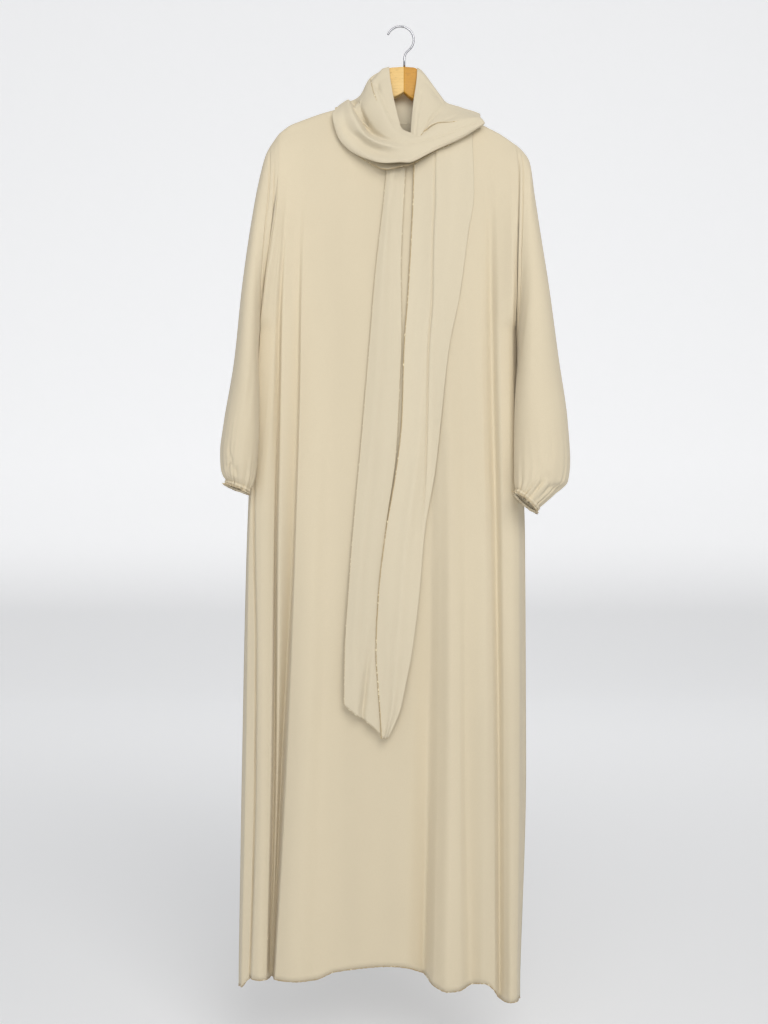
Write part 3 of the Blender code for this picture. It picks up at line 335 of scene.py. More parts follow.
# The scarf's lines from behind the neck over its left side, down the front and on to the right tip,
# from the lower edge up: name, then x, y, z of each point
LEFT_FLOW = (
    ("layer", (-110, 21, -138), (-108, 17, -133), (-104, 14, -131), (-106, 6, -146), (-98, -8, -178),
     (-86, -10, -197), (-68, -13, -216), (-46, -19, -231.5), (-24.7, -25, -241), (-2, -27, -237.5),
     (20, -27, -232), (57, -24, -211.5), (99.5, -10, -187), (131, -2, -162)),
    ("under", (-110, 22, -135), (-107, 18, -130.5), (-102.5, 15.5, -128.8), (-109.1, -1.6, -144),
     (-101.1, -9, -161.2), (-88.3, -11, -181.4), (-70.8, -13, -197.4), (-50, -11, -213),
     (-28.4, -12, -219), (-0.3, -12, -219), (19.6, -13, -216), (58.1, -15, -203), (100.7, -19, -184.7),
     (134.5, -4, -161)),
    ("lip", (-111, 25, -136), (-109, 19, -130), (-104.3, 13, -127), (-111.8, -9, -147.8),
     (-103.6, -13, -182.2), (-90.7, -16, -201.4), (-72.6, -20, -215.4), (-51.4, -26, -225.9),
     (-30.3, -33, -232.8), (-0.4, -36, -232.9), (19.4, -34.9, -231.5), (57.6, -30.7, -211.5),
     (101.2, -22.3, -188.7), (136.5, -8.8, -163.6)),
    ("roll", (-104, 28, -132), (-102, 20, -126), (-99.8, 9, -124.4), (-103.6, -12, -151.5),
     (-94.4, -18, -182.3), (-80.8, -23, -200.4), (-61.8, -28, -214.8), (-43.2, -33, -224.2),
     (-24.7, -38, -230.7), (1.2, -41.6, -231), (21.5, -40, -227.5), (58.8, -35.2, -207.4),
     (102.2, -25.6, -184.2), (138.2, -12, -162.3)),
    ("trough", (-96, 29, -130), (-95, 20, -122), (-93.4, 7, -120.9), (-93.4, -11.2, -147.9),
     (-85.6, -13.6, -172.7), (-70.5, -17.6, -187), (-52.7, -21.6, -202.2), (-35.8, -26.4, -211.1),
     (-17.3, -33.6, -218.1), (4.9, -38.8, -222.3), (25.3, -38.8, -217.6), (60.7, -34.4, -201.9),
     (103.2, -24.8, -179.6), (138, -12.8, -160.6)),
    ("ridge", (-88, 30, -128), (-87, 20, -118), (-85.9, 9, -116.1), (-79.9, -12.8, -140.6),
     (-69.5, -23.2, -167), (-57.8, -29.6, -185.9), (-43.2, -33.6, -197), (-26.5, -36.8, -204.3),
     (-9.9, -38.4, -208.6), (8.6, -38.4, -210.8), (27.2, -37.6, -207.8), (61.6, -33.6, -195.7),
     (103.8, -24, -174.8), (137, -12.8, -158.8)),
    ("hollow", (-79, 30, -128), (-80, 25, -119), (-81, 18, -115.1), (-71.8, 8, -135.6),
     (-60.6, 0, -155.3), (-50.7, -6, -173.9), (-36.8, -17.6, -186.5), (-21.9, -28, -195.4),
     (-7, -33.6, -201), (10.5, -36, -204), (29.1, -36, -200.7), (62.7, -32, -189.8),
     (104.3, -23.2, -170.5), (136, -12, -157)),
    ("bank", (-66, 29, -126), (-66, 21, -113), (-66.1, 9, -108.3), (-61.4, -8, -131.5),
     (-51, -14.4, -154.5), (-39.6, -19.2, -171.8), (-27.5, -25.6, -183.6), (-15.4, -30.4, -191.1),
     (-2.4, -33.6, -196), (12.4, -35.2, -198.1), (30, -35.2, -194.8), (63.6, -31.2, -184.9),
     (104.7, -22.4, -166.9), (135, -12, -155.5)),
    ("crest", (-56, 29, -116), (-54, 19, -91), (-51.6, 6, -83.5), (-45, -12, -113.4),
     (-34, -20.8, -142.1), (-23.7, -26.4, -163.4), (-15.4, -29.6, -175.9), (-6.5, -32, -184.6),
     (3.2, -33.6, -190.5), (15.2, -34.4, -193), (31, -34.4, -190.8), (63.7, -31.2, -179.9),
     (104.8, -22.4, -163.4), (133.6, -11.2, -154)),
    ("dip", (-38, 28, -106), (-37, 18, -79), (-35.1, 5, -72), (-31.2, -10.4, -102.3),
     (-20.9, -16, -131.1), (-11.6, -20.8, -153.7), (-6, -24, -166.2), (-0.4, -27.2, -176.8),
     (7.9, -29.6, -183.7), (18.1, -31.2, -187.3), (33, -31.2, -185.8), (64, -28.8, -171.5),
     (105, -21.6, -159.2), (132.6, -10.4, -152.6)),
    ("edge", (-14, 27, -104), (-17, 17, -76), (-19.3, 3, -64), (-15.6, -11.2, -95.2),
     (-11.1, -16, -122.1), (-5.6, -19.2, -147.4), (-1.8, -21.6, -162.4), (1.9, -24, -173.3),
     (9.8, -26.4, -179.3), (19.3, -28, -182.3), (34, -27.2, -179.6), (64.2, -26.4, -165.2),
     (105.2, -20, -155.8), (131.8, -9.6, -151)),
)

# Its lines from behind the neck over its right side and down onto the cloth before it
RIGHT_FLOW = (
    ("inner", (20, 25, -99), (25, 17, -77), (28.5, 3, -64.8), (25.8, -11.1, -95.2),
     (21.3, -16.6, -125.8), (18, -22, -156.2), (16.3, -27.5, -183.1), (18.2, -27.5, -192)),
    ("fold_a", (30, 26, -104), (33, 18, -81), (35, 5, -68.6), (32.7, -11.9, -99.3),
     (28.9, -18.9, -129.6), (25.3, -26.7, -160), (23.2, -32.2, -186.4), (24.1, -29.8, -191.5)),
    ("fold_b", (42, 27, -112), (43, 19, -90), (44.1, 6, -78.9), (41.6, -11.9, -106.8),
     (37.1, -19.7, -134.6), (32.3, -27.5, -163.1), (29.5, -33, -188.2), (30.4, -30.6, -190.3)),
    ("fold_c", (52, 28, -118), (53, 20, -101), (54.3, 7, -92.6), (51.8, -11.1, -115.9),
     (47.5, -18.9, -139), (41.5, -27.5, -163.1), (37.5, -32.2, -181.2), (38.2, -29.8, -183.3)),
    ("fold_d", (62, 28, -126), (63, 21, -113), (64.8, 8, -106.5), (63.1, -8, -124.9),
     (59.4, -15.8, -143.3), (52.8, -25.2, -160.3), (48.2, -30.6, -170.9), (49.1, -28.3, -172.6)),
    ("fold_e", (72, 28, -132), (74, 22, -124), (76.2, 9, -120.1), (75.5, -4, -133), (72.7, -13.5, -146),
     (67.8, -22.8, -158), (64.3, -28.3, -165), (65.2, -25.9, -166.4)),
    ("fold_f", (86, 27, -136), (89, 21, -129), (91.5, 10, -125.4), (91.2, -2, -136.1),
     (89.2, -11.9, -146.7), (86.1, -21.3, -156.8), (83.5, -25.9, -163.1), (84.4, -23.6, -164.3)),
    ("fold_g", (100, 25, -139), (104, 20, -133), (106.8, 11, -130.1), (106.5, 1, -137.9),
     (105.1, -8.8, -146.1), (102.9, -17.4, -154.3), (101, -22, -159.6), (101.7, -19.7, -160.5)),
    ("fold_h", (114, 22, -142), (118, 18, -136.5), (120.2, 12, -133.5), (120.2, 4, -139.4),
     (119.4, -4, -145.3), (117.6, -11.9, -151), (116.1, -15.8, -155.3), (116.6, -14.2, -156)),
    ("tip", (126, 19, -146), (130, 16, -140), (131.2, 12, -137.7), (132.4, 7, -141.1),
     (132.3, 1, -144.9), (131.4, -5, -148.2), (130.5, -8.8, -151), (130.8, -8, -151.7)),
)

# The scarf's swag across the back, an open roll between an upper and a lower edge. Name, x and z of
# the upper edge, x and z of the lower one, y, how far the roll stands out, degrees that it faces up,
# degrees that it faces aside, depth of the trough along it
BACK_STATIONS = (
    ("left_shoulder", -84, -122, -105, -130, 14.2, 3, 80, -20, 0),
    ("left_round", -82, -125, -107, -135, 24, 8, 62, -22, 0),
    ("left", -70, -130, -98, -160, 34, 13, 30, -20, 2),
    ("left_middle", -38, -106, -48, -194, 38, 17, 4, -8, 4),
    ("middle", 2, -98, 2, -202, 39, 18, 2, 0, 4),
    ("right_middle", 40, -108, 50, -196, 38, 17, 4, 8, 3),
    ("right", 74, -138, 98, -166, 34, 13, 30, 20, 2),
    ("right_round", 82, -130, 112, -140, 24, 8, 62, 22, 0),
    ("right_shoulder", 86, -127, 114, -138, 14, 5, 78, 24, 0),
)
TROUGH_ANGLE = -14.0    # degrees round the roll, from straight out towards the upper edge
TROUGH_WIDTH = 16.0

# Creases on the swag: station, angle round the roll in degrees, depth, half width
SWAG_CREASES = (
    ((1, 14, 0, 11), (3, 22, 5.0, 8), (4.5, 20, 6.5, 7), (6, 12, 4.0, 8), (7.5, 6, 0, 10)),
    ((1, -30, 0, 12), (3, -42, 5.0, 8), (5, -46, 5.0, 8), (7, -36, 0, 10)),
    ((0.5, 48, 0, 8), (2, 54, 4.0, 7), (4, 57, 5.0, 6), (5.5, 52, 0, 8)),
    ((2.5, -6, 0, 7), (3.6, -10, 3.0, 6), (5.0, -14, 3.4, 6), (6.4, -12, 0, 7)),
)

# Creases on the scarf in front: point along the lines, line across, depth, half width in lines
LEFT_FLOW_CREASES = (
    ((1.9, 8.4, 1, 0.3), (2.25, 8.45, 7, 0.26), (2.7, 8.55, 5.5, 0.24), (3.4, 8.7, 2.2, 0.22),
     (5, 8.7, 1.4, 0.25), (7, 8.4, 0, 0.3)),
    ((2.2, 6.4, 0, 0.25), (3, 6.3, 1.8, 0.25), (4, 6.3, 1.5, 0.25), (5, 6.2, 0, 0.3)),
    ((8, 6.6, 0, 0.4), (10, 6.2, 1.2, 0.5), (12, 5.6, 0.8, 0.5), (13, 5.5, 0, 0.5)),
)
RIGHT_FLOW_CREASES = (
    ((2, 4.8, 0, 0.35), (4, 4.2, 1.6, 0.3), (5, 3.6, 2.4, 0.3), (6.4, 3.0, 1.6, 0.3), (7, 2.9, 0, 0.3)),
    ((2.2, 1.4, 0, 0.3), (4, 1.3, 1.2, 0.3), (6, 1.2, 1.4, 0.35), (7, 1.2, 0, 0.3)),
    ((4, 6.3, 0, 0.4), (5.4, 5.4, 1.6, 0.35), (6.6, 4.6, 1.0, 0.3), (7, 4.4, 0, 0.3)),
)

# The scarf's hanging ends: z, x of the left edge, x of the right edge
LEFT_TAIL = (
    (-212, -20, 10), (-300, -29, 5), (-404, -41, 1), (-500, -49, 2), (-608, -58, -2),
    (-700, -66, -7), (-832, -78, -25), (-914, -84, -33), (-1030, -91, -36), (-1118, -92, -32),
    (-1170, -60, -31),
)
RIGHT_TAIL = (
    (-166, 22, 118), (-212, 22, 119.5), (-275, 21, 121), (-344, 18, 111), (-446, 12, 97), (-528, 6, 80),
    (-650, 2, 66), (-731, -7, 57), (-832, -24, 40), (-935, -36, 31), (-1027, -40, 19),
    (-1093, -36, 6), (-1120, -34, 0), (-1150, -32, -12), (-1174, -31, -24),
)

# z of each tail's top and of its end, at its left edge and at its right edge
LEFT_TAIL_ENDS = (-236.5, -231.5, -1113, -1165)
RIGHT_TAIL_ENDS = (-228, -168, -1168, -1167)
LEFT_TAIL_LIFT = 0.6    # how far it lies off the front
RIGHT_TAIL_LIFT = 2.4

# Soft folds on a tail: name, share across at its top and end, half width as a share, height
LEFT_TAIL_FOLDS = (("roll", 0.30, 0.34, 0.24, 5.0), ("soft", 0.80, 0.78, 0.18, 2.0))
RIGHT_TAIL_FOLDS = (("pleat", 0.36, 0.62, 0.16, 4.0), ("edge", 0.04, 0.06, 0.14, 1.2))

# Creases on a tail: share down, share across, depth, half width as a share, or one for each side
LEFT_TAIL_CREASES = (
    ((0.80, 0.90, 0.0, 0.10), (0.90, 0.66, 3.5, 0.07), (0.97, 0.52, 6.5, 0.07), (1.0, 0.45, 7.0, 0.07)),
    ((0.0, 0.22, 0.6, 0.14), (0.10, 0.42, 1.2, 0.13), (0.18, 0.62, 0.0, 0.13)),
    ((0.0, 0.72, 0.8, 0.11), (0.2, 0.82, 1.3, 0.10), (0.4, 0.9, 0.0, 0.10)),
)
RIGHT_TAIL_CREASES = (
    ((0.0, 0.375, -1.8, 0.012, 0.30), (0.05, 0.365, -2.2, 0.012, 0.30), (0.13, 0.392, -2.4, 0.012, 0.30),
     (0.2, 0.44, -2.4, 0.013, 0.30), (0.3, 0.536, -2.4, 0.014, 0.26), (0.4, 0.615, -2.2, 0.015, 0.24),
     (0.51, 0.72, -2.0, 0.016, 0.2), (0.61, 0.87, -1.2, 0.018, 0.15), (0.68, 1.0, 0.0, 0.02, 0.1)),
    ((0.0, 0.357, 2.0, 0.02, 0.012), (0.05, 0.347, 2.4, 0.02, 0.012), (0.13, 0.374, 2.6, 0.02, 0.012),
     (0.2, 0.421, 2.6, 0.02, 0.013), (0.3, 0.516, 2.6, 0.022, 0.014), (0.4, 0.594, 2.4, 0.024, 0.015),
     (0.51, 0.697, 2.2, 0.026, 0.016), (0.61, 0.845, 1.6, 0.028, 0.018), (0.68, 0.98, 0.0, 0.03, 0.02)),
)

# The hanger's arms up to the shoulders: x, z of the top, height, for each section
LEFT_ARM = ((5.5, -66.5, 42), (-12, -66.8, 49), (-30, -70.8, 46), (-45, -87, 38), (-56, -104, 32),
            (-66, -121, 27), (-78, -134, 23))
RIGHT_ARM = ((5.5, -66.5, 42), (22, -67, 52), (38, -79.4, 45), (52, -96.4, 36), (63, -111.4, 30),
             (72, -124, 26), (79, -137.5, 22))


def ease(share: Array) -> Array:
    """Go from 0 to 1 with a level start and a level end, as half a cosine wave."""
    return 0.5 - 0.5 * np.cos(np.pi * np.clip(share, 0.0, 1.0))


def slopes(knots: Array, values: Array, loose: bool) -> Array:
    """Give each knot's slope: the harmonic mean of the steps beside it, or 0 where they turn.

    Args:
        knots: rising places.
        values: one row for each knot.
        loose: whether the slope is the plain step between the knots on both sides instead.
    Returns:
        One row of slopes for each knot.
    """
    steps = np.diff(values, axis=0) / np.diff(knots)[:, None]
    if loose:
        wide = (values[2:] - values[:-2]) / (knots[2:] - knots[:-2])[:, None]
        return np.vstack([steps[:1], wide, steps[-1:]])
    total = steps[:-1] + steps[1:]
    product = steps[:-1] * steps[1:]
    middle = np.where(product > 0, 2 * product / np.where(total == 0, 1, total), 0.0)
    return np.vstack([steps[:1], middle, steps[-1:]])


def along(at: Array, knots: Array, values: Array, loose: bool = False) -> Array:
    """Read smooth curves, cubic between the knots, that never swing past them unless loose.

    Args:
        at: places of any shape.
        knots: rising places where the values are known.
        values: one row for each knot.
        loose: whether the curves are rounder and may swing a little past the knots.
    Returns:
        The values at the places, with one more axis at the end.
    """
    knots = np.asarray(knots, float)
    values = np.asarray(values, float).reshape(len(knots), -1)
    shape = np.shape(at)
    at = np.clip(np.ravel(np.asarray(at, float)), knots[0], knots[-1])
    slope = slopes(knots, values, loose)
    i = np.clip(np.searchsorted(knots, at) - 1, 0, len(knots) - 2)
    width = (knots[i + 1] - knots[i])[:, None]
    t = (at - knots[i])[:, None] / width
    start = values[i] * (1 + 2 * t) * (1 - t) ** 2 + slope[i] * width * t * (1 - t) ** 2
    end = values[i + 1] * t * t * (3 - 2 * t) + slope[i + 1] * width * t * t * (t - 1)
    return (start + end).reshape(*shape, values.shape[1])


def across_folds(x: Array, line_at: Array, depth_at: Array) -> Array:
    """Read a smooth curve through folds whose places differ from point to point.

    Args:
        x: places across.
        line_at: each fold's x, in one more axis.
        depth_at: each fold's y, in the same form.
    Returns:
        y at each place: level at the crests and floors, cubic between them.
    """
    width = np.diff(line_at, axis=-1)
    steps = np.diff(depth_at, axis=-1) / width
    product, total = steps[..., :-1] * steps[..., 1:], steps[..., :-1] + steps[..., 1:]
    middle = np.where(product > 0, 2 * product / np.where(total == 0, 1, total), 0.0)
    slope = np.concatenate([np.zeros_like(steps[..., :1]), middle, np.zeros_like(steps[..., :1])], axis=-1)
    k = np.sum(x[..., None] > line_at[..., 1:-1], axis=-1)[..., None]
    read = [np.take_along_axis(values, k + step, axis=-1)[..., 0] for values, step in (
        (line_at, 0), (width, 0), (depth_at, 0), (depth_at, 1), (slope, 0), (slope, 1))]
    start, wide, low, high, low_slope, high_slope = read
    t = np.clip((x - start) / wide, 0.0, 1.0)
    left = low * (1 + 2 * t) * (1 - t) ** 2 + low_slope * wide * t * (1 - t) ** 2
    return left + high * t * t * (3 - 2 * t) + high_slope * wide * t * t * (t - 1)


def bell(distance: Array, width: Array) -> Array:
    """Give a soft bump: e to the power of minus the square of distance over width."""
    return np.exp(-(distance / width) ** 2)


def curve(points: Rows, at: Array) -> Array:
    """Read a smooth curve at places, for a curve given as place, value points in rising order."""
    table = np.array(points, float)
    return along(at, table[:, 0], table[:, 1])[..., 0]


def line_x(line: Rows, z: Array) -> Array:
    """Give a line's x at a height, for a line given as x, z points from the top down."""
    points = np.array(line, float)
    return along(-z, -points[:, 1], points[:, 0])[..., 0]


def arm_y(x: Array) -> Array:
    """Give the y of the hanger's middle line, a parabola that sweeps back to its tips."""
    share = np.minimum(np.abs(x - HANGER_X) / ARM_REACH, 1.0)
    return ARM_SWEEP * (1 - (1 - share) ** 2)


def shoulder_z(x: Array) -> Array:
    """Give the inner height of the cloth: the shoulders' lines, and a straight line across the neck.

    Args:
        x: places across.
    Returns:
        z at each place.
    """
    share = (x - NECK_LEFT_X) / (NECK_RIGHT_X - NECK_LEFT_X)
    across = LEFT_SHOULDER[-1][1] * (1 - share) + RIGHT_SHOULDER[0][1] * share
    sides = [curve(LEFT_SHOULDER, x), curve(RIGHT_SHOULDER, x)]
    return np.select([x <= NECK_LEFT_X, x >= NECK_RIGHT_X], sides, across) - WALL


def top_z(x: Array, drop: float) -> Array:
    """Give the height of a panel's top edge: the shoulder, or the neckline's parabola.

    Args:
        x: places across.
        drop: how far the neckline's middle lies under the shoulders.
    Returns:
        z at each place.
    """
    middle = 0.5 * (NECK_LEFT_X + NECK_RIGHT_X)
    half = 0.5 * (NECK_RIGHT_X - NECK_LEFT_X)
    share = np.minimum(np.abs(x - middle) / half, 1.0)
    return shoulder_z(x) - drop * (1 - share ** 2)


def armhole_y(z: Array, line: Rows, side: Face) -> Array:
    """Give the y of an armhole's edge: half an oval from the shoulder to the underarm.

    Args:
        z: heights.
        line: the armhole's line.
        side: the panel that the edge belongs to.
    Returns:
        y at each height.
    """
    top, foot = line[0][1] - WALL, line[-1][1]
    share = np.clip((top - z) / (top - foot), 0.0, 1.0)
    return ARM_SWEEP + side * 2 * ARMHOLE_HALF_DEPTH * np.sqrt(share * (1 - share))


def crease_depth(creases: Rows, down: Array, across: Array) -> Array:
    """Add up creases, each a bell across its line whose depth and widths change along it.

    Args:
        creases: for each crease, rows of its place down, its place across, its depth and one
            half width, or one for each side.
        down: places along the creases.
        across: places across them.
    Returns:
        How far the creases sink the cloth.
    """
    total = np.zeros(np.broadcast(down, across).shape)
    for crease in creases:
        rows = np.array(crease, float)
        sign = np.sign(rows[-1, 0] - rows[0, 0])
        read = along(sign * down, sign * rows[:, 0], rows[:, 1:])
        off = across - read[..., 0]
        width = np.where(off < 0, read[..., 2], read[..., -1])
        total += read[..., 1] * bell(off, width) * ((down - rows[0, 0]) * sign >= 0)
    return total


def grid_normals(grid: Array, closed: bool) -> Array:
    """Give a unit normal at each grid point: the cross product of the steps along and across.

    Args:
        grid: the points.
        closed: whether the last column meets the first.
    Returns:
        One normal for each point.
    """
    down = np.gradient(grid, axis=0)
    if closed:
        across = (np.roll(grid, -1, axis=1) - np.roll(grid, 1, axis=1)) / 2
    else:
        across = np.gradient(grid, axis=1)
    normal = np.cross(down, across)
    return normal / np.maximum(np.linalg.norm(normal, axis=2, keepdims=True), TINY)


def push_out(grid: Array, closed: bool, outward: Array, amount: Array) -> Array:
    """Move a grid along its normals.

    Args:
        grid: the points.
        closed: whether the last column meets the first.
        outward: a rough direction that most of the normals share.
        amount: how far, the same everywhere or for each point.
    Returns:
        The moved grid.
    """
    normal = grid_normals(grid, closed)
    normal *= np.sign(np.sum(normal * outward))
    return grid + normal * np.reshape(amount, np.shape(amount) + (1,))


def capped(grid: Array, middle: Array, share: float) -> Array:
    """Close a tube's ends nearly to a point, each by a small copy of its last ring.

    Args:
        grid: the tube's rings.
        middle: the middle of each ring.
        share: the copies' size as a share of the rings'.
    Returns:
        The rings with one more at each end.
    """
    ends = middle[[0, -1], None]
    caps = ends + (grid[[0, -1]] - ends) * share
    return np.concatenate([caps[:1], grid, caps[1:]])


def surface(name: str, grid: Array, outward: Array, material: Material,
            closed: bool = False, thick: float = CLOTH_THICK) -> Thing:
    """Make a mesh from a grid, with a UV map in metres along the cloth.

    Args:
        name: the piece's name.
        grid: its points in millimetres, in rows.
        outward: a rough direction that its faces turn to, for each point.
        material: its finish.
        closed: whether the last column meets the first.
        thick: how thick the cloth is made, inwards from the grid, or 0 for none.
    Returns:
        The new object.
    """
    rows, columns = grid.shape[:2]
    whole = np.concatenate([grid, grid[:, :1]], axis=1) if closed else grid
    lengths = np.linalg.norm(np.diff(whole, axis=1), axis=2)
    u = np.pad(np.cumsum(lengths, axis=1), ((0, 0), (1, 0)))
    u -= u.mean(axis=1, keepdims=True)
    v = np.pad(np.cumsum(np.linalg.norm(np.diff(whole, axis=0), axis=2), axis=0), ((1, 0), (0, 0)))
    i, j = np.meshgrid(np.arange(rows - 1), np.arange(whole.shape[1] - 1), indexing="ij")
    corners = [(i, j), (i, j + 1), (i + 1, j + 1), (i + 1, j)]
    normal = grid_normals(grid, closed)
    if np.sum(normal * outward) < 0:
        corners = corners[::-1]
    # down x across is the normal of the order first, below, below and beside, beside
    corners = corners[::-1]
    faces = np.stack([a * columns + b % columns for a, b in corners], axis=-1).reshape(-1, 4)
    uv = np.stack([np.stack([u[a, b], v[a, b]], axis=-1) for a, b in corners], axis=2)
    mesh = bpy.data.meshes.new(name)
    mesh.from_pydata((grid.reshape(-1, 3) * MM).tolist(), [], faces.tolist())
    layer = mesh.uv_layers.new(name="UVMap")
    layer.uv.foreach_set("vector", (uv * MM).ravel())
    mesh.shade_smooth()
    mesh.materials.append(material)
    thing = bpy.data.objects.new(name, mesh)
    bpy.context.collection.objects.link(thing)
    if thick:
        shell = thing.modifiers.new("thickness", "SOLIDIFY")
        shell.thickness = thick * MM
        shell.offset = -1.0
    return thing


def tube(name: str, path: Array, radius: Array, material: Material, sides: int = 8,
         up: Point = (0.0, 1.0, 0.0), end_share: float = 0.049) -> Thing:
    """Carry a circle along a path, square to it, and close its ends.

    Args:
        name: the piece's name.
        path: the points of its middle line in millimetres.
        radius: its radius at each point.
        material: its finish.
        sides: how many sides it has.
        up: a direction that the path never runs along.
        end_share: how nearly the ends are closed, as a share of the radius.
    Returns:
        The new object.
    """
    way = np.gradient(path, axis=0)
    way /= np.maximum(np.linalg.norm(way, axis=1, keepdims=True), TINY)
    side = np.cross(way, np.array(up))
    side /= np.maximum(np.linalg.norm(side, axis=1, keepdims=True), TINY)
    top = np.cross(side, way)
    angle = 2 * np.pi * np.arange(sides) / sides
    cosine, sine = np.cos(angle)[None, :, None], np.sin(angle)[None, :, None]
    ring = cosine * side[:, None] + sine * top[:, None]
    grid = capped(path[:, None] + np.reshape(radius, (-1, 1, 1)) * ring, path, end_share)
    middle = np.concatenate([path[:1], path, path[-1:]])[:, None]
    return surface(name, grid, grid - middle, material, closed=True, thick=0.0)


def resample(path: Array, step: float) -> Array:
    """Give points along a path at even steps, read on straight lines between its own points.

    Args:
        path: the points.
        step: about how far apart the new ones are.
    Returns:
        The new points.
    """
    reach = np.concatenate([[0.0], np.cumsum(np.linalg.norm(np.diff(path, axis=0), axis=1))])
    at = np.linspace(0.0, reach[-1], max(int(reach[-1] / step), 2) + 1)
    return np.column_stack([np.interp(at, reach, path[:, k]) for k in range(3)])


class Nodes:
    """A short way to write a node tree: add nodes, set their values and join them."""

    def __init__(self, tree: bpy.types.NodeTree) -> None:
        """Keep the tree that the nodes go into."""
        self.tree = tree

    def fill(self, node: Node, values: dict) -> None:
        """Set a node's inputs.

        Args:
            node: the node.
            values: socket names or numbers with a number, a colour or a socket to join.
        """
        for key, value in values.items():
            socket = node.inputs[key]
            if isinstance(value, Socket):
                self.tree.links.new(value, socket)
            else:
                socket.default_value = value

    def add(self, kind: str, values: dict | None = None, **settings: object) -> Node:
        """Add one node.

        Args:
            kind: the node's type without ShaderNode at its start.
            values: what its inputs are set to, as in fill.
            settings: the node's own settings.
        Returns:
            The new node.
        """
        node = self.tree.nodes.new("ShaderNode" + kind)
        for key, value in settings.items():
            setattr(node, key, value)
        self.fill(node, values or {})
        return node

    def ramp(self, fac: Socket, low: float, high: float) -> Socket:
        """Spread the range from low to high of a value over 0 to 1, eased at both ends."""
        node = self.add("MapRange", {0: fac, 1: low, 2: high}, interpolation_type="SMOOTHSTEP")
        return node.outputs[0]

    def spread(self, fac: Socket, low: float, high: float) -> Socket:
        """Spread a value from 0 to 1 over the range from low to high."""
        return self.add("MapRange", {0: fac, 3: low, 4: high}).outputs[0]

    def sum(self, first: Socket, second: Socket, kind: str = "ADD") -> Socket:
        """Add two values, or join them by another operation."""
        return self.add("Math", {0: first, 1: second}, operation=kind).outputs[0]

    def times(self, value: Socket, factor: float) -> Socket:
        """Multiply a value by a number."""
        return self.add("Math", {0: value, 1: factor}, operation="MULTIPLY").outputs[0]

    def blend(self, share: Socket, first: Colour | Socket, second: Colour) -> Socket:
        """Blend two colours.

        Args:
            share: how much of the second one shows.
            first: a colour, or a socket that gives one.
            second: a colour.
        Returns:
            The blended colour's socket.
        """
        start = first if isinstance(first, Socket) else (*first, 1.0)
        values = {MIX_SHARE: share, MIX_FIRST: start, MIX_SECOND: (*second, 1.0)}
        return self.add("Mix", values, data_type="RGBA").outputs[MIX_RESULT]

    def bump(self, height: Socket, strength: float, distance: float, invert: bool = False) -> Socket:
        """Give the normal of a height, read with a strength and a distance in metres."""
        values = {"Height": height, "Strength": strength, "Distance": distance}
        return self.add("Bump", values, invert=invert).outputs[0]


def new_material(name: str) -> tuple[Material, Nodes, Node]:
    """Start a material.

    Args:
        name: the material's name.
    Returns:
        The material, its nodes and its Principled shader.
    """
    made = bpy.data.materials.new(name)
    made.use_nodes = True
    return made, Nodes(made.node_tree), made.node_tree.nodes["Principled BSDF"]


def new_group(name: str, inputs: dict[str, float | None], outputs: tuple[str, ...]) -> tuple:
    """Start a shader group.

    Args:
        name: the group's name.
        inputs: socket names with their first values, None for a vector.
        outputs: names of the values that it puts out.
    Returns:
        The group, its nodes, its input node and its output node.
    """
    group = bpy.data.node_groups.new(name, "ShaderNodeTree")
    for key, value in inputs.items():
        kind = "NodeSocketVector" if value is None else "NodeSocketFloat"
        socket = group.interface.new_socket(key, in_out="INPUT", socket_type=kind)
        if value is not None:
            socket.default_value = value
    for key in outputs:
        group.interface.new_socket(key, in_out="OUTPUT", socket_type="NodeSocketFloat")
    nodes = Nodes(group)
    return group, nodes, group.nodes.new("NodeGroupInput"), group.nodes.new("NodeGroupOutput")


def crepe_group() -> Group:
    """Build the crepe's surface: crossed threads, the pebbles between them and uneven tone.

    The height is 0.45 times the threads plus 0.9 times the pebbles, and the fine tone follows the
    pebbles plus 0.3 times the threads. The broad tone is noise drawn out into upright streaks.

    Returns:
        A group that puts out a height, a fine tone and a broad tone.
    """
    inputs = {"Place": None, "Object": None, "Threads": 1500.0, "Pebble": 900.0, "Streak": 9.0}
    group, nodes, enter, leave = new_group("crepe", inputs, ("Height", "Fine", "Broad"))
    bands = []
    for direction in ("X", "Y"):
        values = {"Vector": enter.outputs["Place"], "Scale": enter.outputs["Threads"],
                  "Distortion": 1.2, "Detail": 1.0, "Detail Scale": 1.5}
        wave = nodes.add("TexWave", values, wave_type="BANDS", bands_direction=direction)
        bands.append(wave.outputs["Fac"])
    threads = nodes.sum(bands[0], bands[1], "MULTIPLY")
    pebble = nodes.add("TexNoise", {"Vector": enter.outputs["Object"], "Scale": enter.outputs["Pebble"],
                                    "Detail": 2.0, "Roughness": 0.6}).outputs["Fac"]
    stretch = nodes.add("Mapping", {"Vector": enter.outputs["Object"], "Scale": (1.0, 1.0, 0.16)})
    streak = nodes.add("TexNoise", {"Vector": stretch.outputs[0], "Scale": enter.outputs["Streak"],
                                    "Detail": 2.0, "Roughness": 0.45}).outputs["Fac"]
    nodes.fill(leave, {
        "Height": nodes.sum(nodes.times(threads, 0.45), nodes.times(pebble, 0.9)),
        "Fine": nodes.ramp(nodes.sum(pebble, nodes.times(threads, 0.3)), 0.30, 0.95),
        "Broad": nodes.ramp(streak, 0.30, 0.70),
    })
    return group


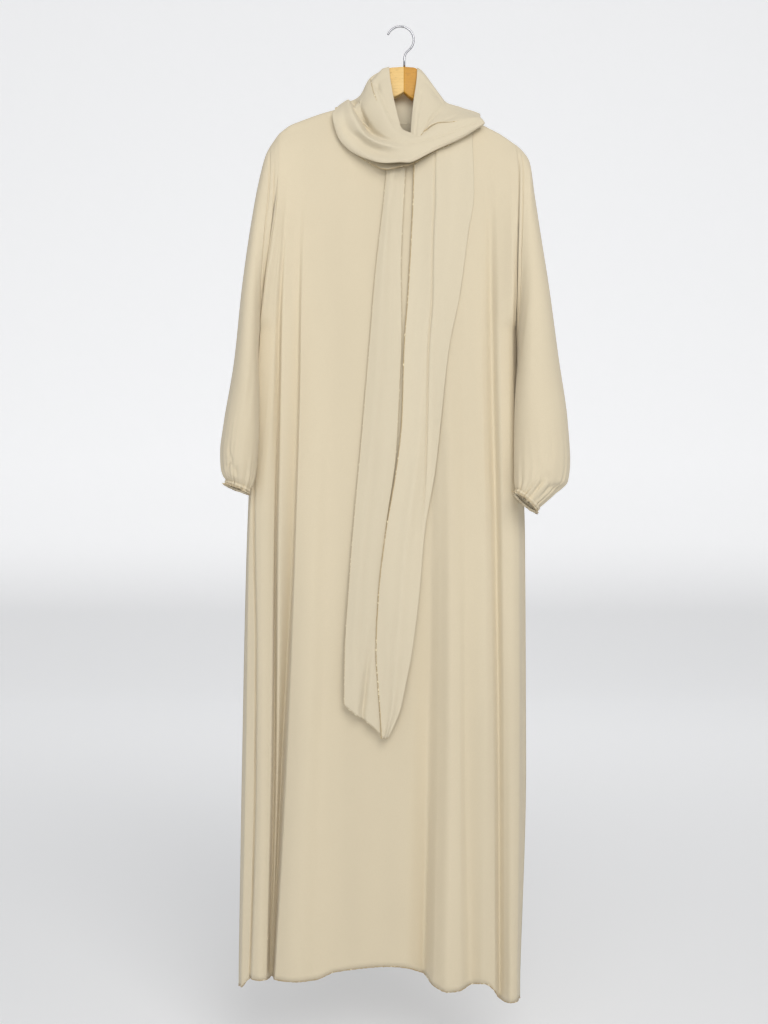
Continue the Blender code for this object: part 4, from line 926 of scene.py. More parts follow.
@dataclass(frozen=True)
class Crepe:
    """Matt crepe cloth: fine pebbled weave, a little sheen and slightly uneven tone."""

    name: str
    colour: Colour
    shade: Colour           # between its threads
    streak: float = 0.94    # tone of the darker streaks
    depth: float = 0.30     # how much of the shade shows
    sheen: float = 0.18
    rough: float = 0.86
    uneven: float = 0.06    # how much its roughness varies

    def material(self, group: Group) -> Material:
        """Make the material.

        Args:
            group: the crepe's surface.
        Returns:
            The material.
        """
        made, nodes, shader = new_material(self.name)
        place = nodes.add("TexCoord").outputs
        weave = nodes.add("Group", {"Place": place["UV"], "Object": place["Object"]}, node_tree=group)
        fine = weave.outputs["Fine"]
        broad = nodes.blend(weave.outputs["Broad"], self.colour, tuple(self.streak * c for c in self.colour))
        nodes.fill(shader, {
            "Base Color": nodes.blend(nodes.times(fine, self.depth), broad, self.shade),
            "Roughness": nodes.spread(fine, self.rough - self.uneven, self.rough + self.uneven),
            "Normal": nodes.bump(weave.outputs["Height"], strength=0.35, distance=0.0005),
            "Sheen Weight": self.sheen,
            "Sheen Roughness": 0.55,
            "Specular IOR Level": 0.25,
        })
        return made


@dataclass(frozen=True)
class Thread:
    """Overcast edge: close slanted stitches of golden thread with light specks."""

    name: str
    thread: Colour
    cloth: Colour
    speck: Colour
    pitch: float = 1.7      # about half the distance from stitch to stitch along the edge

    def material(self) -> Material:
        """Make the material, with the stitches as slanted bands on the piece's own UV map.

        Returns:
            The material.
        """
        made, nodes, shader = new_material(self.name)
        place = nodes.add("TexCoord").outputs
        scale = 1.0 / (self.pitch * MM) / WAVE_BANDS
        wave = nodes.add("TexWave", {"Vector": place["UV"], "Scale": scale, "Distortion": 2.0,
                                     "Detail": 1.0}, bands_direction="DIAGONAL").outputs["Fac"]
        specks = nodes.add("TexNoise", {"Vector": place["Object"], "Scale": 210.0, "Detail": 2.0})
        stitches = nodes.blend(wave, self.cloth, self.thread)
        nodes.fill(shader, {
            "Base Color": nodes.blend(nodes.ramp(specks.outputs["Fac"], 0.58, 0.66), stitches, self.speck),
            "Roughness": nodes.ramp(wave, -1.2, 1.6),
            "Normal": nodes.bump(wave, strength=0.6, distance=0.0005),
            "Sheen Weight": 0.2,
        })
        return made


def grain_group() -> Group:
    """Build the wood's grain: long lines warped by noise, and small pores.

    Returns:
        A group that puts out the grain's lines, its broad tone and its pores.
    """
    group, nodes, enter, leave = new_group("grain", {"Object": None, "Lines": 60.0, "Pores": 900.0},
                                           ("Lines", "Broad", "Pores"))
    stretch = nodes.add("Mapping", {"Vector": enter.outputs["Object"], "Scale": (0.12, 1.0, 1.0)})
    lines = nodes.add("TexWave", {"Vector": stretch.outputs[0], "Scale": enter.outputs["Lines"],
                                  "Distortion": 3.0, "Detail": 3.0, "Detail Scale": 1.2},
                      bands_direction="Z")
    broad = nodes.add("TexNoise", {"Vector": stretch.outputs[0], "Scale": 24.0, "Detail": 3.0})
    fine = nodes.add("Mapping", {"Vector": enter.outputs["Object"], "Scale": (0.10, 1.0, 1.0)})
    pores = nodes.add("TexNoise", {"Vector": fine.outputs[0], "Scale": enter.outputs["Pores"]})
    nodes.fill(leave, {
        "Lines": lines.outputs["Fac"],
        "Broad": nodes.ramp(broad.outputs["Fac"], 0.3, 0.7),
        "Pores": nodes.ramp(pores.outputs["Fac"], 0.60, 0.68),
    })
    return group


@dataclass(frozen=True)
class VarnishedWood:
    """Pale yellow wood with fine grain under a clear varnish."""

    name: str
    light: Colour
    dark: Colour
    lines: float = 0.22     # how much of the dark colour the grain's lines bring
    clouds: float = 0.5     # how much of it the broad tone brings
    pores: float = 0.5      # the pores' tone beside the dark colour, and how much of it shows

    def material(self, group: Group) -> Material:
        """Make the material.

        Args:
            group: the grain.
        Returns:
            The material.
        """
        made, nodes, shader = new_material(self.name)
        place = nodes.add("TexCoord").outputs
        grain = nodes.add("Group", {"Object": place["Object"]}, node_tree=group).outputs
        amount = nodes.sum(nodes.times(grain["Lines"], self.lines), nodes.times(grain["Broad"], self.clouds))
        tone = nodes.blend(amount, self.light, self.dark)
        pore = tuple(self.pores * c for c in self.dark)
        nodes.fill(shader, {
            "Base Color": nodes.blend(nodes.times(grain["Pores"], self.pores), tone, pore),
            "Roughness": nodes.spread(grain["Broad"], 0.42, 0.55),
            "Normal": nodes.bump(grain["Pores"], strength=0.12, distance=0.0003, invert=True),
            "Specular IOR Level": 0.25,
            "Coat Weight": 0.12,
            "Coat Roughness": 0.2,
        })
        return made


@dataclass(frozen=True)
class BrightWire:
    """Plated steel wire, bright with dulled spots."""

    name: str
    bright: Colour
    dull: Colour

    def material(self) -> Material:
        """Make the material, which noise on Object coordinates dulls in spots.

        Returns:
            The material.
        """
        made, nodes, shader = new_material(self.name)
        place = nodes.add("TexCoord").outputs
        spots = nodes.add("TexNoise", {"Vector": place["Object"], "Scale": 260.0, "Detail": 3.0})
        mask = nodes.ramp(spots.outputs["Fac"], 0.45, 0.75)
        nodes.fill(shader, {
            "Base Color": nodes.blend(mask, self.bright, self.dull),
            "Roughness": nodes.spread(mask, 0.20, 0.38),
            "Metallic": 1.0,
        })
        return made


@dataclass
class Finishes:
    """Every material of the garment and its hanger, made once."""

    cloth: Material = field(init=False)
    scarf: Material = field(init=False)
    gold: Material = field(init=False)
    hem: Material = field(init=False)
    quiet: Material = field(init=False)
    # The arms share one varnished wood, painted paler on the left arm as painted light and darker on the
    # right arm as painted shade
    wood: Material = field(init=False)
    shaded_amber_wood: Material = field(init=False)
    wire: Material = field(init=False)

    def __post_init__(self) -> None:
        """Build the shared groups and the materials."""
        crepe = crepe_group()
        cloth = Crepe("crepe_body", (0.69, 0.60, 0.435), (0.56, 0.475, 0.33))
        self.cloth = cloth.material(crepe)
        scarf = Crepe("crepe_scarf", (0.68, 0.60, 0.445), (0.55, 0.475, 0.34))
        self.scarf = scarf.material(crepe)
        gold = Thread("scarf_edge", (0.40, 0.27, 0.10), (0.58, 0.47, 0.29), (0.9, 0.8, 0.55))
        self.gold = gold.material()
        hem = Thread("hem_edge", (0.34, 0.23, 0.10), (0.56, 0.45, 0.28), (0.85, 0.76, 0.55))
        self.hem = hem.material()
        quiet = Thread("quiet_edge", (0.50, 0.41, 0.26), (0.60, 0.51, 0.35), (0.80, 0.72, 0.52))
        self.quiet = quiet.material()
        grain = grain_group()
        # Painted light and shade: the left arm's wood is painted paler and the right arm's darker and deeper
        # amber, where the light falls differently on the two arms
        wood = VarnishedWood("lit_left_wood", (0.78, 0.54, 0.22), (0.68, 0.43, 0.14))
        self.wood = wood.material(grain)
        shaded_amber_wood = VarnishedWood("shaded_right_wood", (0.55, 0.27, 0.025), (0.47, 0.21, 0.018))
        self.shaded_amber_wood = shaded_amber_wood.material(grain)
        self.wire = BrightWire("hook_wire", (0.40, 0.40, 0.42), (0.24, 0.24, 0.26)).material()


def dress(piece: Thing, slot: Slot, *nodes: str) -> Thing:
    """Make a piece ride on the body, and stand for the CAD nodes that are named.

    Args:
        piece: the piece.
        slot: its material slot; not used.
        nodes: names of the CAD nodes that it replaces.
    Returns:
        The same piece.
    """
    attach(piece, BODY)
    if nodes:
        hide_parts(*nodes)
    return piece


@dataclass
class Panel:
    """The front or the back: the cloth between its folds' lines, with creases."""

    name: str
    node: str
    side: Face
    folds: tuple[Fold, ...]
    creases: Rows
    drop: float
    rows: int = 190
    columns: int = 240
    bunching: float = 1.25      # power that draws the rows together at the top
    upper_share: float = 0.27   # share at which the rows reach the underarm
    crease_full: float = 60.0   # how far under the top edge the creases reach their full depth
    least_step: float = 0.5     # least step across that a slope is read from
    flat: tuple[float, float] = (0.66, 1.47)
    area: float = 0.80

    def lines(self, z: Array) -> tuple[Array, Array]:
        """Give x and y of every fold's line.

        Args:
            z: heights of any shape.
        Returns:
            x and y with one more axis, one entry for each fold.
        """
        x, y = [], []
        for fold in self.folds:
            top_x = np.array([float(fold.top_x)])
            seat = float(arm_y(top_x)[0]) + self.side * SHOULDER_ROUND
            knots = [-float(top_z(top_x, self.drop)[0])] + [-level for level in LEVELS]
            pair = np.column_stack([(fold.top_x,) + fold.x, (seat,) + fold.y])
            at = along(-z, knots, pair)
            x.append(at[..., 0])
            y.append(at[..., 1])
        return np.stack(x, axis=-1), np.stack(y, axis=-1)

    def round_over(self, x: Array, z: Array) -> Array:
        """Give how far back to the seam the cloth lies: a quarter circle over the hanger.

        Args:
            x: places across.
            z: heights, of the same shape.
        Returns:
            The distance at each place.
        """
        below = np.clip((shoulder_z(x) - z) / SHOULDER_ROUND, 0.0, 1.0)
        back = SHOULDER_ROUND * (1 - np.sqrt(1 - (1 - below) ** 2))
        return np.where((x > NECK_LEFT_X) & (x < NECK_RIGHT_X), 0.0, back)

    def depth(self, x: Array, z: Array) -> Array:
        """Give the y of the solid's inner face: a smooth curve from fold to fold, with its own folds.

        Args:
            x: places across.
            z: heights, of the same shape.
        Returns:
            y at each place.
        """
        line_at, depth_at = self.lines(z)
        y = across_folds(x, line_at, depth_at)
        seat = self.side * np.maximum(self.side * y, self.side * arm_y(x) + SHOULDER_ROUND)
        y = np.where(z > shoulder_z(x) - OVER_ARM, seat, y)
        change = np.zeros_like(y)
        for line, inward, edge in ((LEFT_ARMHOLE, 1, 0), (RIGHT_ARMHOLE, -1, -1)):
            away = np.maximum((x - line_x(line, z)) * inward, 0.0)
            weight = np.maximum(1 - away / ARMHOLE_BLEND, 0.0) ** 2 * (z > line[-1][1])
            edge_y = depth_at[..., edge] - self.side * self.round_over(line_at[..., edge], z)
            change += weight * (armhole_y(z, line, self.side) - edge_y)
        return y - self.side * self.round_over(x, z) + change

    def grid(self) -> Array:
        """Give the cloth's points, in rows from the top edge to the hem.

        Returns:
            The grid of the face that shows.
        """
        index = np.arange(len(self.folds))
        last = index[-1]
        widths = np.abs(np.diff([np.mean(fold.x) for fold in self.folds]))
        reach = np.concatenate([[0.0], np.cumsum(np.sqrt(widths))])
        place = np.interp(np.linspace(0, reach[-1], self.columns), reach, index)
        top_x = np.interp(place, index, [fold.top_x for fold in self.folds])
        top = top_z(top_x, self.drop)
        hem_x = [fold.x[-1] for fold in self.folds]
        hem_line = tuple((fold.x[-1], fold.hem_z) for fold in self.folds)
        hem = curve(hem_line, np.interp(place, index, hem_x))
        across = place / last
        under = LEFT_ARMHOLE[-1][1] * (1 - across) + RIGHT_ARMHOLE[-1][1] * across
        share = np.linspace(0, 1, self.rows) ** self.bunching
        upper = np.clip(share / self.upper_share, 0, 1)[:, None]
        lower = np.clip((share - self.upper_share) / (1 - self.upper_share), 0, 1)[:, None]
        z = top + (under - top) * upper + (hem - under) * lower
        line_at = self.lines(z)[0]
        k = np.minimum(place.astype(int), last - 1)
        t = place - k
        columns = np.arange(self.columns)
        x = line_at[:, columns, k] * (1 - t) + line_at[:, columns, k + 1] * t
        for line, edge in ((LEFT_ARMHOLE, 0), (RIGHT_ARMHOLE, -1)):
            above = z[:, edge] >= line[-1][1]
            x[above, edge] = line_x(line, np.minimum(z[above, edge], line[0][1]))
        shoulder = (top_x <= NECK_LEFT_X) | (top_x >= NECK_RIGHT_X)
        x[0, shoulder] = top_x[shoulder]
        y = self.depth(x, z)
        for edge in (0, -1):
            above = z[:, edge] >= LEFT_ARMHOLE[-1][1]
            y[above, edge] = self.side * np.maximum(self.side * y[above, edge], self.side * ARM_SWEEP)
        y[0, shoulder] = arm_y(x[0, shoulder])
        fade = ease((top - z) / self.crease_full)
        y -= self.side * fade * crease_depth(self.creases, z, x)
        inner = np.stack([x, y, z], axis=-1)
        shown = self.skin(inner, shoulder)
        for edge, hand in ((0, Hand.LEFT), (-1, Hand.RIGHT)):
            below = z[:, edge] < LEFT_ARMHOLE[-1][1]
            shown[below, edge] = inner[below, edge] + (hand * SKIN, 0, 0)
        return shown

    def skin(self, inner: Array, shoulder: Array) -> Array:
        """Move the solid's inner face out to the face that shows, in each column's upright plane.

        Args:
            inner: the inner face's points.
            shoulder: for each column, whether its top lies on the shoulder.
        Returns:
            The moved points.
        """
        down = np.gradient(inner, axis=0)
        across = np.gradient(inner, axis=1)
        steep = across[..., 1] / np.maximum(across[..., 0], self.least_step)
        thick = np.minimum(SKIN * np.sqrt(1 + steep ** 2), 2 * SKIN)
        length = np.maximum(np.hypot(down[..., 1], down[..., 2]), TINY)
        out = inner.copy()
        out[..., 1] += self.side * thick * -down[..., 2] / length
        out[..., 2] += self.side * thick * down[..., 1] / length
        out[0, shoulder] = inner[0, shoulder] + (0, 0, SKIN)
        return out

    def build(self, finishes: Finishes) -> list[Thing]:
        """Make the panel, its hem and its neck edge.

        Args:
            finishes: the materials.
        Returns:
            The new pieces.
        """
        grid = self.grid()
        outward = np.array([0.0, float(self.side), 0.0])
        cloth = surface(self.name, grid, outward, finishes.cloth)
        dress(cloth, Slot.CLOTH, self.node)
        hem = edging(self.name + "_hem", grid[-1], finishes.hem, radius=0.9, seed=7,
                     lift=(0.0, -0.3 * self.side, 0.2))
        dress(hem, Slot.CLOTH)
        neck = grid[0, (grid[0, :, 0] > NECK_LEFT_X) & (grid[0, :, 0] < NECK_RIGHT_X)]
        rim = edging(self.name + "_neck", neck, finishes.cloth, radius=1.5, seed=9)
        dress(rim, Slot.CLOTH)
        return [cloth, hem, rim]


def edging(name: str, path: Array, material: Material, radius: float, seed: int,
           lift: Point = (0.0, 0.0, 0.0), step: float = 2.0) -> Thing:
    """Run an overcast edge along a cloth's edge, a little uneven in its thickness.

    Args:
        name: the piece's name.
        path: the cloth's edge in millimetres.
        material: its finish.
        radius: its mean radius.
        seed: seed of its unevenness.
        lift: how far it is moved off the cloth.
        step: distance between its points.
    Returns:
        The new object.
    """
    chance = np.random.default_rng(seed)
    line = resample(path, step)
    uneven = chance.standard_normal(len(line)).clip(-EDGE_MOST, EDGE_MOST)
    wander = chance.standard_normal((len(line), 3)).clip(-EDGE_MOST, EDGE_MOST)
    size = radius * (1 + EDGE_UNEVEN * uneven)
    return tube(name, line + np.array(lift) + EDGE_WANDER * wander, size, material, sides=6)


@dataclass
class Sleeve:
    """A long full sleeve with its gathered cuff."""

    name: str
    node: str
    cuff_node: str
    sections: Rows
    armhole: Rows
    creases: Rows
    hoops: Rows
    seed: int
    around: int = 120
    steps: int = 200
    cuff_steps: int = 40
    close_sections: int = 4     # the last sections, which half of the steps lie in
    gathers: int = 19
    flat: tuple[float, float] = (0.21, 0.57)
    area: float = 0.095
    cuff_flat: tuple[float, float] = (0.165, 0.019)

    def ovals(self, table: Array, more: Array) -> Array:
        """Give rings: ovals between the two ends of each row, swollen by more.

        Args:
            table: one row of a section's numbers for each ring.
            more: how much each point is moved out, a number for each ring and point.
        Returns:
            The grid of rings.
        """
        angle = 2 * np.pi * np.arange(self.around) / self.around
        outer, inner = table[:, OUTER_END], table[:, INNER_END]
        middle, reach = (outer + inner) / 2, (outer - inner) / 2
        half = np.linalg.norm(reach, axis=1)[:, None]
        depth = table[:, HALF_DEPTH, None]
        front = np.stack([0 * depth[:, 0], -depth[:, 0], table[:, FRONT_LIFT]], axis=1)
        ring = middle[:, None] + (np.cos(angle) * (1 + more / half))[..., None] * reach[:, None]
        return ring + (np.sin(angle) * (1 + more / depth))[..., None] * front[:, None]

    def puckers(self, amount: Array) -> Array:
        """Give uneven gathers round the sleeve: two waves of different counts, bent by slow ones.

        Args:
            amount: the gathers' height at each ring.
        Returns:
            How far each point moves out, in rings.
        """
        angle = 2 * np.pi * np.arange(self.around) / self.around
        bent = angle + GATHER_BENDS[0] * np.sin(3 * angle + self.seed)
        bent = bent + GATHER_BENDS[1] * np.sin(5 * angle + 2 * self.seed)
        second = np.cos((self.gathers - FEWER_GATHERS) * bent + self.seed)
        wave = GATHER_PARTS[0] * np.cos(self.gathers * bent) + GATHER_PARTS[1] * second
        return amount[:, None] * wave

    def grid(self) -> Array:
        """Give the sleeve's points from the armhole, where it follows the panels' edges.

        Returns:
            The grid of the face that shows.
        """
        last = len(self.sections) - 1
        table = np.array([s[1:] for s in self.sections], float)
        top, foot = self.armhole[0][1] - WALL, self.armhole[-1][1]
        table[0, 2], table[0, 5] = top, foot
        close = last - self.close_sections
        place = np.concatenate([np.linspace(0, close, self.steps // 2, endpoint=False),
                                np.linspace(close, last, self.steps - self.steps // 2)])
        rows = along(place, np.arange(last + 1), table)
        rings = self.ovals(rows, self.puckers(curve(SLEEVE_GATHERS, place)))
        first = rings[0].copy()
        first[:, 2] = np.clip(first[:, 2], foot, top)
        first[:, 0] = line_x(self.armhole, first[:, 2])
        half = self.around // 2
        bend = first[:, 0] - first[0, 0] - (first[half, 0] - first[0, 0]) * (
            (first[:, 2] - first[0, 2]) / (first[half, 2] - first[0, 2]))
        rings[..., 0] += bend * np.maximum(1 - place / BOWED_SECTIONS, 0.0)[:, None]
        rings[0] = first
        angle = np.linspace(0, 360, self.around, endpoint=False)
        sunk = crease_depth(self.creases, place[:, None], angle[None])
        sunk += crease_depth(self.hoops, angle[None], place[:, None])
        out = rings - rings.mean(axis=1, keepdims=True)
        moved = push_out(rings, True, out, SKIN - sunk)
        moved[0, :, 0] = first[:, 0]
        return moved

    def cuff_grid(self) -> Array:
        """Give the cuff's points: the elastic's casing, the line of stitches and the frill.

        Returns:
            The grid of the face that shows.
        """
        last = len(self.sections) - 1
        table = np.array([s[1:] for s in self.sections], float)
        share = np.linspace(0, 1, self.cuff_steps)
        wrist = np.repeat(table[last:], len(share), axis=0)
        swell = curve(CUFF_PROFILE, share)[:, None]
        rings = self.ovals(wrist, swell + self.puckers(curve(CUFF_GATHERS, share)))
        forward = (0.0, -wrist[0, HALF_DEPTH], wrist[0, FRONT_LIFT])
        down = np.cross(wrist[0, OUTER_END] - wrist[0, INNER_END], forward)
        down *= -np.sign(down[2]) / np.linalg.norm(down)
        rings += (share * CUFF_LENGTH)[:, None, None] * down
        return push_out(rings, True, rings - rings.mean(axis=1, keepdims=True), SKIN)

    def build(self, finishes: Finishes) -> list[Thing]:
        """Make the sleeve, its cuff and the overcast edge of the frill.

        Args:
            finishes: the materials.
        Returns:
            The new pieces.
        """
        grid, cuff_grid = self.grid(), self.cuff_grid()
        sleeve = surface(self.name, grid, grid - grid.mean(axis=1, keepdims=True), finishes.cloth, True)
        cuff = surface(self.name + "_cuff", cuff_grid, cuff_grid - cuff_grid.mean(axis=1, keepdims=True),
                       finishes.cloth, True)
        rim = np.concatenate([cuff_grid[-1], cuff_grid[-1, :1]])
        edge = edging(self.name + "_frill_edge", rim, finishes.hem, radius=0.6, seed=self.seed, step=1.2)
        dress(sleeve, Slot.CLOTH, self.node)
        dress(cuff, Slot.CLOTH, self.cuff_node)
        dress(edge, Slot.CLOTH)
        return [sleeve, cuff, edge]


@dataclass
class Swag:
    """A stretch of the scarf that hangs in a swag: an open roll carried along its stations."""

    name: str
    node: str
    stations: Rows
    creases: Rows
    side: Face
    angles: tuple[float, float]     # the roll's first and last, in degrees
    flat: tuple[float, float]
    inner: float = 1.5              # how much deeper the roll's inner half is
    steps: int = 180
    around: int = 64

    def facing(self, lift: Array, turn: Array) -> Array:
        """Give the direction that the roll faces.

        Args:
            lift: degrees that it faces up.
            turn: degrees that it faces aside.
        Returns:
            One direction for each.
        """
        lift, turn = np.radians(lift), np.radians(turn)
        level = np.cos(lift)
        return np.stack([np.sin(turn) * level, self.side * np.cos(turn) * level, np.sin(lift)], axis=-1)

    def grid(self) -> tuple[Array, Array]:
        """Give the cloth's points and the way out at each.

        Returns:
            The grid, and each point's direction from the middle of the roll.
        """
        table = np.array([s[1:] for s in self.stations], float)
        place = np.linspace(0, len(table) - 1, self.steps)
        ux, uz, lx, lz, y, roll, lift, turn, trough = along(place, np.arange(len(table)), table).T
        upper, lower = np.stack([ux, y, uz], axis=-1), np.stack([lx, y, lz], axis=-1)
        middle, half = (upper + lower) / 2, (upper - lower) / 2
        out = self.facing(lift, turn)
        angle = np.linspace(self.angles[0], self.angles[1], self.around)
        dip = trough[:, None] * bell(angle - TROUGH_ANGLE, np.array(TROUGH_WIDTH))
        dip = dip + crease_depth(self.creases, place[:, None], angle[None])
        sine, cosine = np.sin(np.radians(angle)), np.cos(np.radians(angle))
        reach = roll[:, None] * cosine * np.where(cosine < 0, self.inner, 1.0) - dip
        grid = middle[:, None] + half[:, None] * sine[None, :, None] + out[:, None] * reach[..., None]
        centre = (middle - out * roll[:, None])[:, None]
        return push_out(grid, False, grid - centre, SKIN), grid - centre

    def build(self, finishes: Finishes) -> list[Thing]:
        """Make the swag and the overcast edge along it.

        Args:
            finishes: the materials.
        Returns:
            The new pieces.
        """
        grid, out = self.grid()
        cloth = surface(self.name, grid, out, finishes.scarf)
        dress(cloth, Slot.SCARF, self.node)
        edge = edging(self.name + "_edge", grid[:, -1], finishes.gold, radius=0.6, seed=11)
        dress(edge, Slot.SCARF)
        return [cloth, edge]


def clear_of_hanger(grid: Array, ahead: Array, gap: float = 3.4, fade: float = 20.0,
                    least: float = 0.15) -> Array:
    """Move a cloth's points off the hanger, away from the middle line of its arms.

    The wood and the gap round it count as a rounded box. With a and b the distances from its middle
    to the side and upwards, as shares of its half sizes, a point lies inside where the fourth root
    of a^4 + b^4 is below 1, and it moves straight out until that root is 1.

    Args:
        grid: the cloth's points.
        ahead: for each row, whether it lies before the hanger and not behind it.
        gap: how far the cloth stays from the wood.
        fade: how far below the wood the move dies away.
        least: the least a, which keeps a point on the middle line from staying there.
    Returns:
        The moved grid.
    """
    x, y, z = np.moveaxis(grid, -1, 0)
    rows = np.array(LEFT_ARM[:0:-1] + RIGHT_ARM, float)
    beyond = (x < rows[0, 0]) | (x > rows[-1, 0])
    top = np.where(beyond, shoulder_z(x), np.interp(x, rows[:, 0], rows[:, 1]))
    half = np.interp(x, rows[:, 0], rows[:, 2]) / 2
    middle, tall, thick = top - half, half + gap, Hanger.half_thick + gap
    side = np.where(ahead, -1.0, 1.0)[:, None]
    aside = np.maximum(side * (y - arm_y(x)) / thick, least)
    above = np.maximum((z - middle) / tall, 0.0)
    root = (aside ** 4 + above ** 4) ** 0.25
    weight = (root < 1) * (1 - ease((middle - half - z) / fade))
    y = y + weight * (arm_y(x) + side * thick * aside / root - y)
    z = z + weight * (above > 0) * (middle + tall * above / root - z)
    return np.stack([x, y, z], axis=-1)


@dataclass
class Flow:
    """A stretch of the scarf laid through listed lines, from behind the neck to its end."""

    name: str
    nodes: tuple[str, ...]
    lines: Rows
    creases: Rows
    flat: tuple[float, float]
    layered: bool                   # whether its first line is the edge that shows
    fold_edge: Point | None = None  # a line, and its first and last point, with an edge of its own
    last_row: int = -12             # the row that the edge follows where it isn't layered
    steps: int = 200
    across: int = 116

    def grid(self) -> Array:
        """Give the cloth's points: curves along the lines, then curves across from line to line.

        Returns:
            The grid of the face that shows.
        """
        table = np.array([line[1:] for line in self.lines], float)
        count, knots = table.shape[:2]
        place = np.linspace(0, knots - 1, self.steps)
        share = np.linspace(0, count - 1, self.across)
        runs = along(place, np.arange(knots), table.transpose(1, 0, 2).reshape(knots, -1), True)
        runs = runs.reshape(self.steps, count, 3).transpose(1, 0, 2).reshape(count, -1)
        grid = along(share, np.arange(count), runs, True).reshape(self.across, self.steps, 3)
        grid = grid.transpose(1, 0, 2)
        sunk = crease_depth(self.creases, place[:, None], share[None])
        return clear_of_hanger(push_out(grid, False, grid - np.array(WITHIN_NECK), -sunk), place > CREST)

    def build(self, finishes: Finishes) -> list[Thing]:
        """Make the stretch and the overcast edge along the side that shows.

        Args:
            finishes: the materials.
        Returns:
            The new pieces.
        """
        grid = self.grid()
        cloth = surface(self.name, grid, grid - np.array(WITHIN_NECK), finishes.scarf)
        dress(cloth, Slot.SCARF, *self.nodes)
        rim = grid[:, 0] if self.layered else grid[self.last_row]
        edge = edging(self.name + "_edge", rim, finishes.gold, radius=0.55, seed=21)
        dress(edge, Slot.SCARF)
        if self.fold_edge is None:
            return [cloth, edge]
        line, start, end = self.fold_edge
        rows = np.round(np.array([start, end]) / (len(self.lines[0]) - 2) * (self.steps - 1)).astype(int)
        column = round(line / (len(self.lines) - 1) * (self.across - 1))
        inner = edging(self.name + "_fold_edge", grid[rows[0]:rows[1], column], finishes.gold,
                       radius=0.5, seed=23, lift=(0.0, -0.3, 0.2))
        return [cloth, edge, dress(inner, Slot.SCARF)]


@dataclass
class Tail:
    """A hanging end of the scarf, made from the front's own depth, moved out, with its folds."""

    name: str
    node: str
    panel: Panel
    edges: Rows
    ends: tuple[float, float, float, float]
    lift: float                 # how far it lies off the front
    folds: Rows
    creases: Rows
    flat: tuple[float, float]
    tip_lift: float             # how much further its end lies off
    bright: bool                # whether its left edge shows golden thread
    top_lift: float = 0.5       # how much further its top lies off
    top_reach: float = 0.055    # share of the way down over which that dies away
    top_ease: float = 0.85      # how much less of it there is at the sides
    flush: float = 0.0          # how much nearer its right edge lies at the top
    flush_from: float = 0.7     # share across from which it does
    flush_reach: float = 0.3    # share across and down over which it does
    rows: int = 210
    columns: int = 72

    def grid(self) -> Array:
        """Give the cloth's points from the swag down to the end.

        Returns:
            The grid of the face that shows.
        """
        knots = np.array([-row[0] for row in self.edges], float)
        down = np.linspace(0, 1, self.rows)[:, None]
        across = np.linspace(0, 1, self.columns)[None]
        top = self.ends[0] * (1 - across) + self.ends[1] * across
        end = self.ends[2] * (1 - across) + self.ends[3] * across
        z = top + (end - top) * down
        sides = along(-z, knots, [row[1:] for row in self.edges])
        x = sides[..., 0] * (1 - across) + sides[..., 1] * across
        out = np.full(x.shape, WALL + self.lift + SKIN)
        middle = 1 - self.top_ease * np.abs(2 * across - 1) ** 3
        out += self.tip_lift * down ** 4 + self.top_lift * bell(down, np.array(self.top_reach)) * middle
        for _, start, finish, width, height in self.folds:
            out += height * bell(across - (start + (finish - start) * down), np.array(width))
        out -= crease_depth(self.creases, down, across)
        aside = ease((across - self.flush_from) / self.flush_reach)
        out -= self.flush * aside * bell(down, np.array(self.flush_reach))
        return np.stack([x, self.panel.depth(x, z) - out, z], axis=-1)

    def build(self, finishes: Finishes) -> list[Thing]:
        """Make the tail and the overcast edge down its sides and across its end.

        Args:
            finishes: the materials.
        Returns:
            The new pieces.
        """
        grid = self.grid()
        cloth = surface(self.name, grid, np.array([0.0, -1.0, 0.0]), finishes.scarf)
        dress(cloth, Slot.SCARF, self.node)
        finish, radius = (finishes.gold, 0.7) if self.bright else (finishes.quiet, 0.4)
        off = (0.0, -0.2, 0.0)
        side = edging(self.name + "_edge", grid[:, 0], finish, radius, seed=31, lift=off)
        dress(side, Slot.SCARF)
        rim = grid[-1] if self.bright else np.concatenate([grid[-1], grid[::-1, -1]])
        end = edging(self.name + "_rim", rim, finishes.quiet, radius=0.45, seed=33, lift=off)
        dress(end, Slot.SCARF)
        return [cloth, side, end]


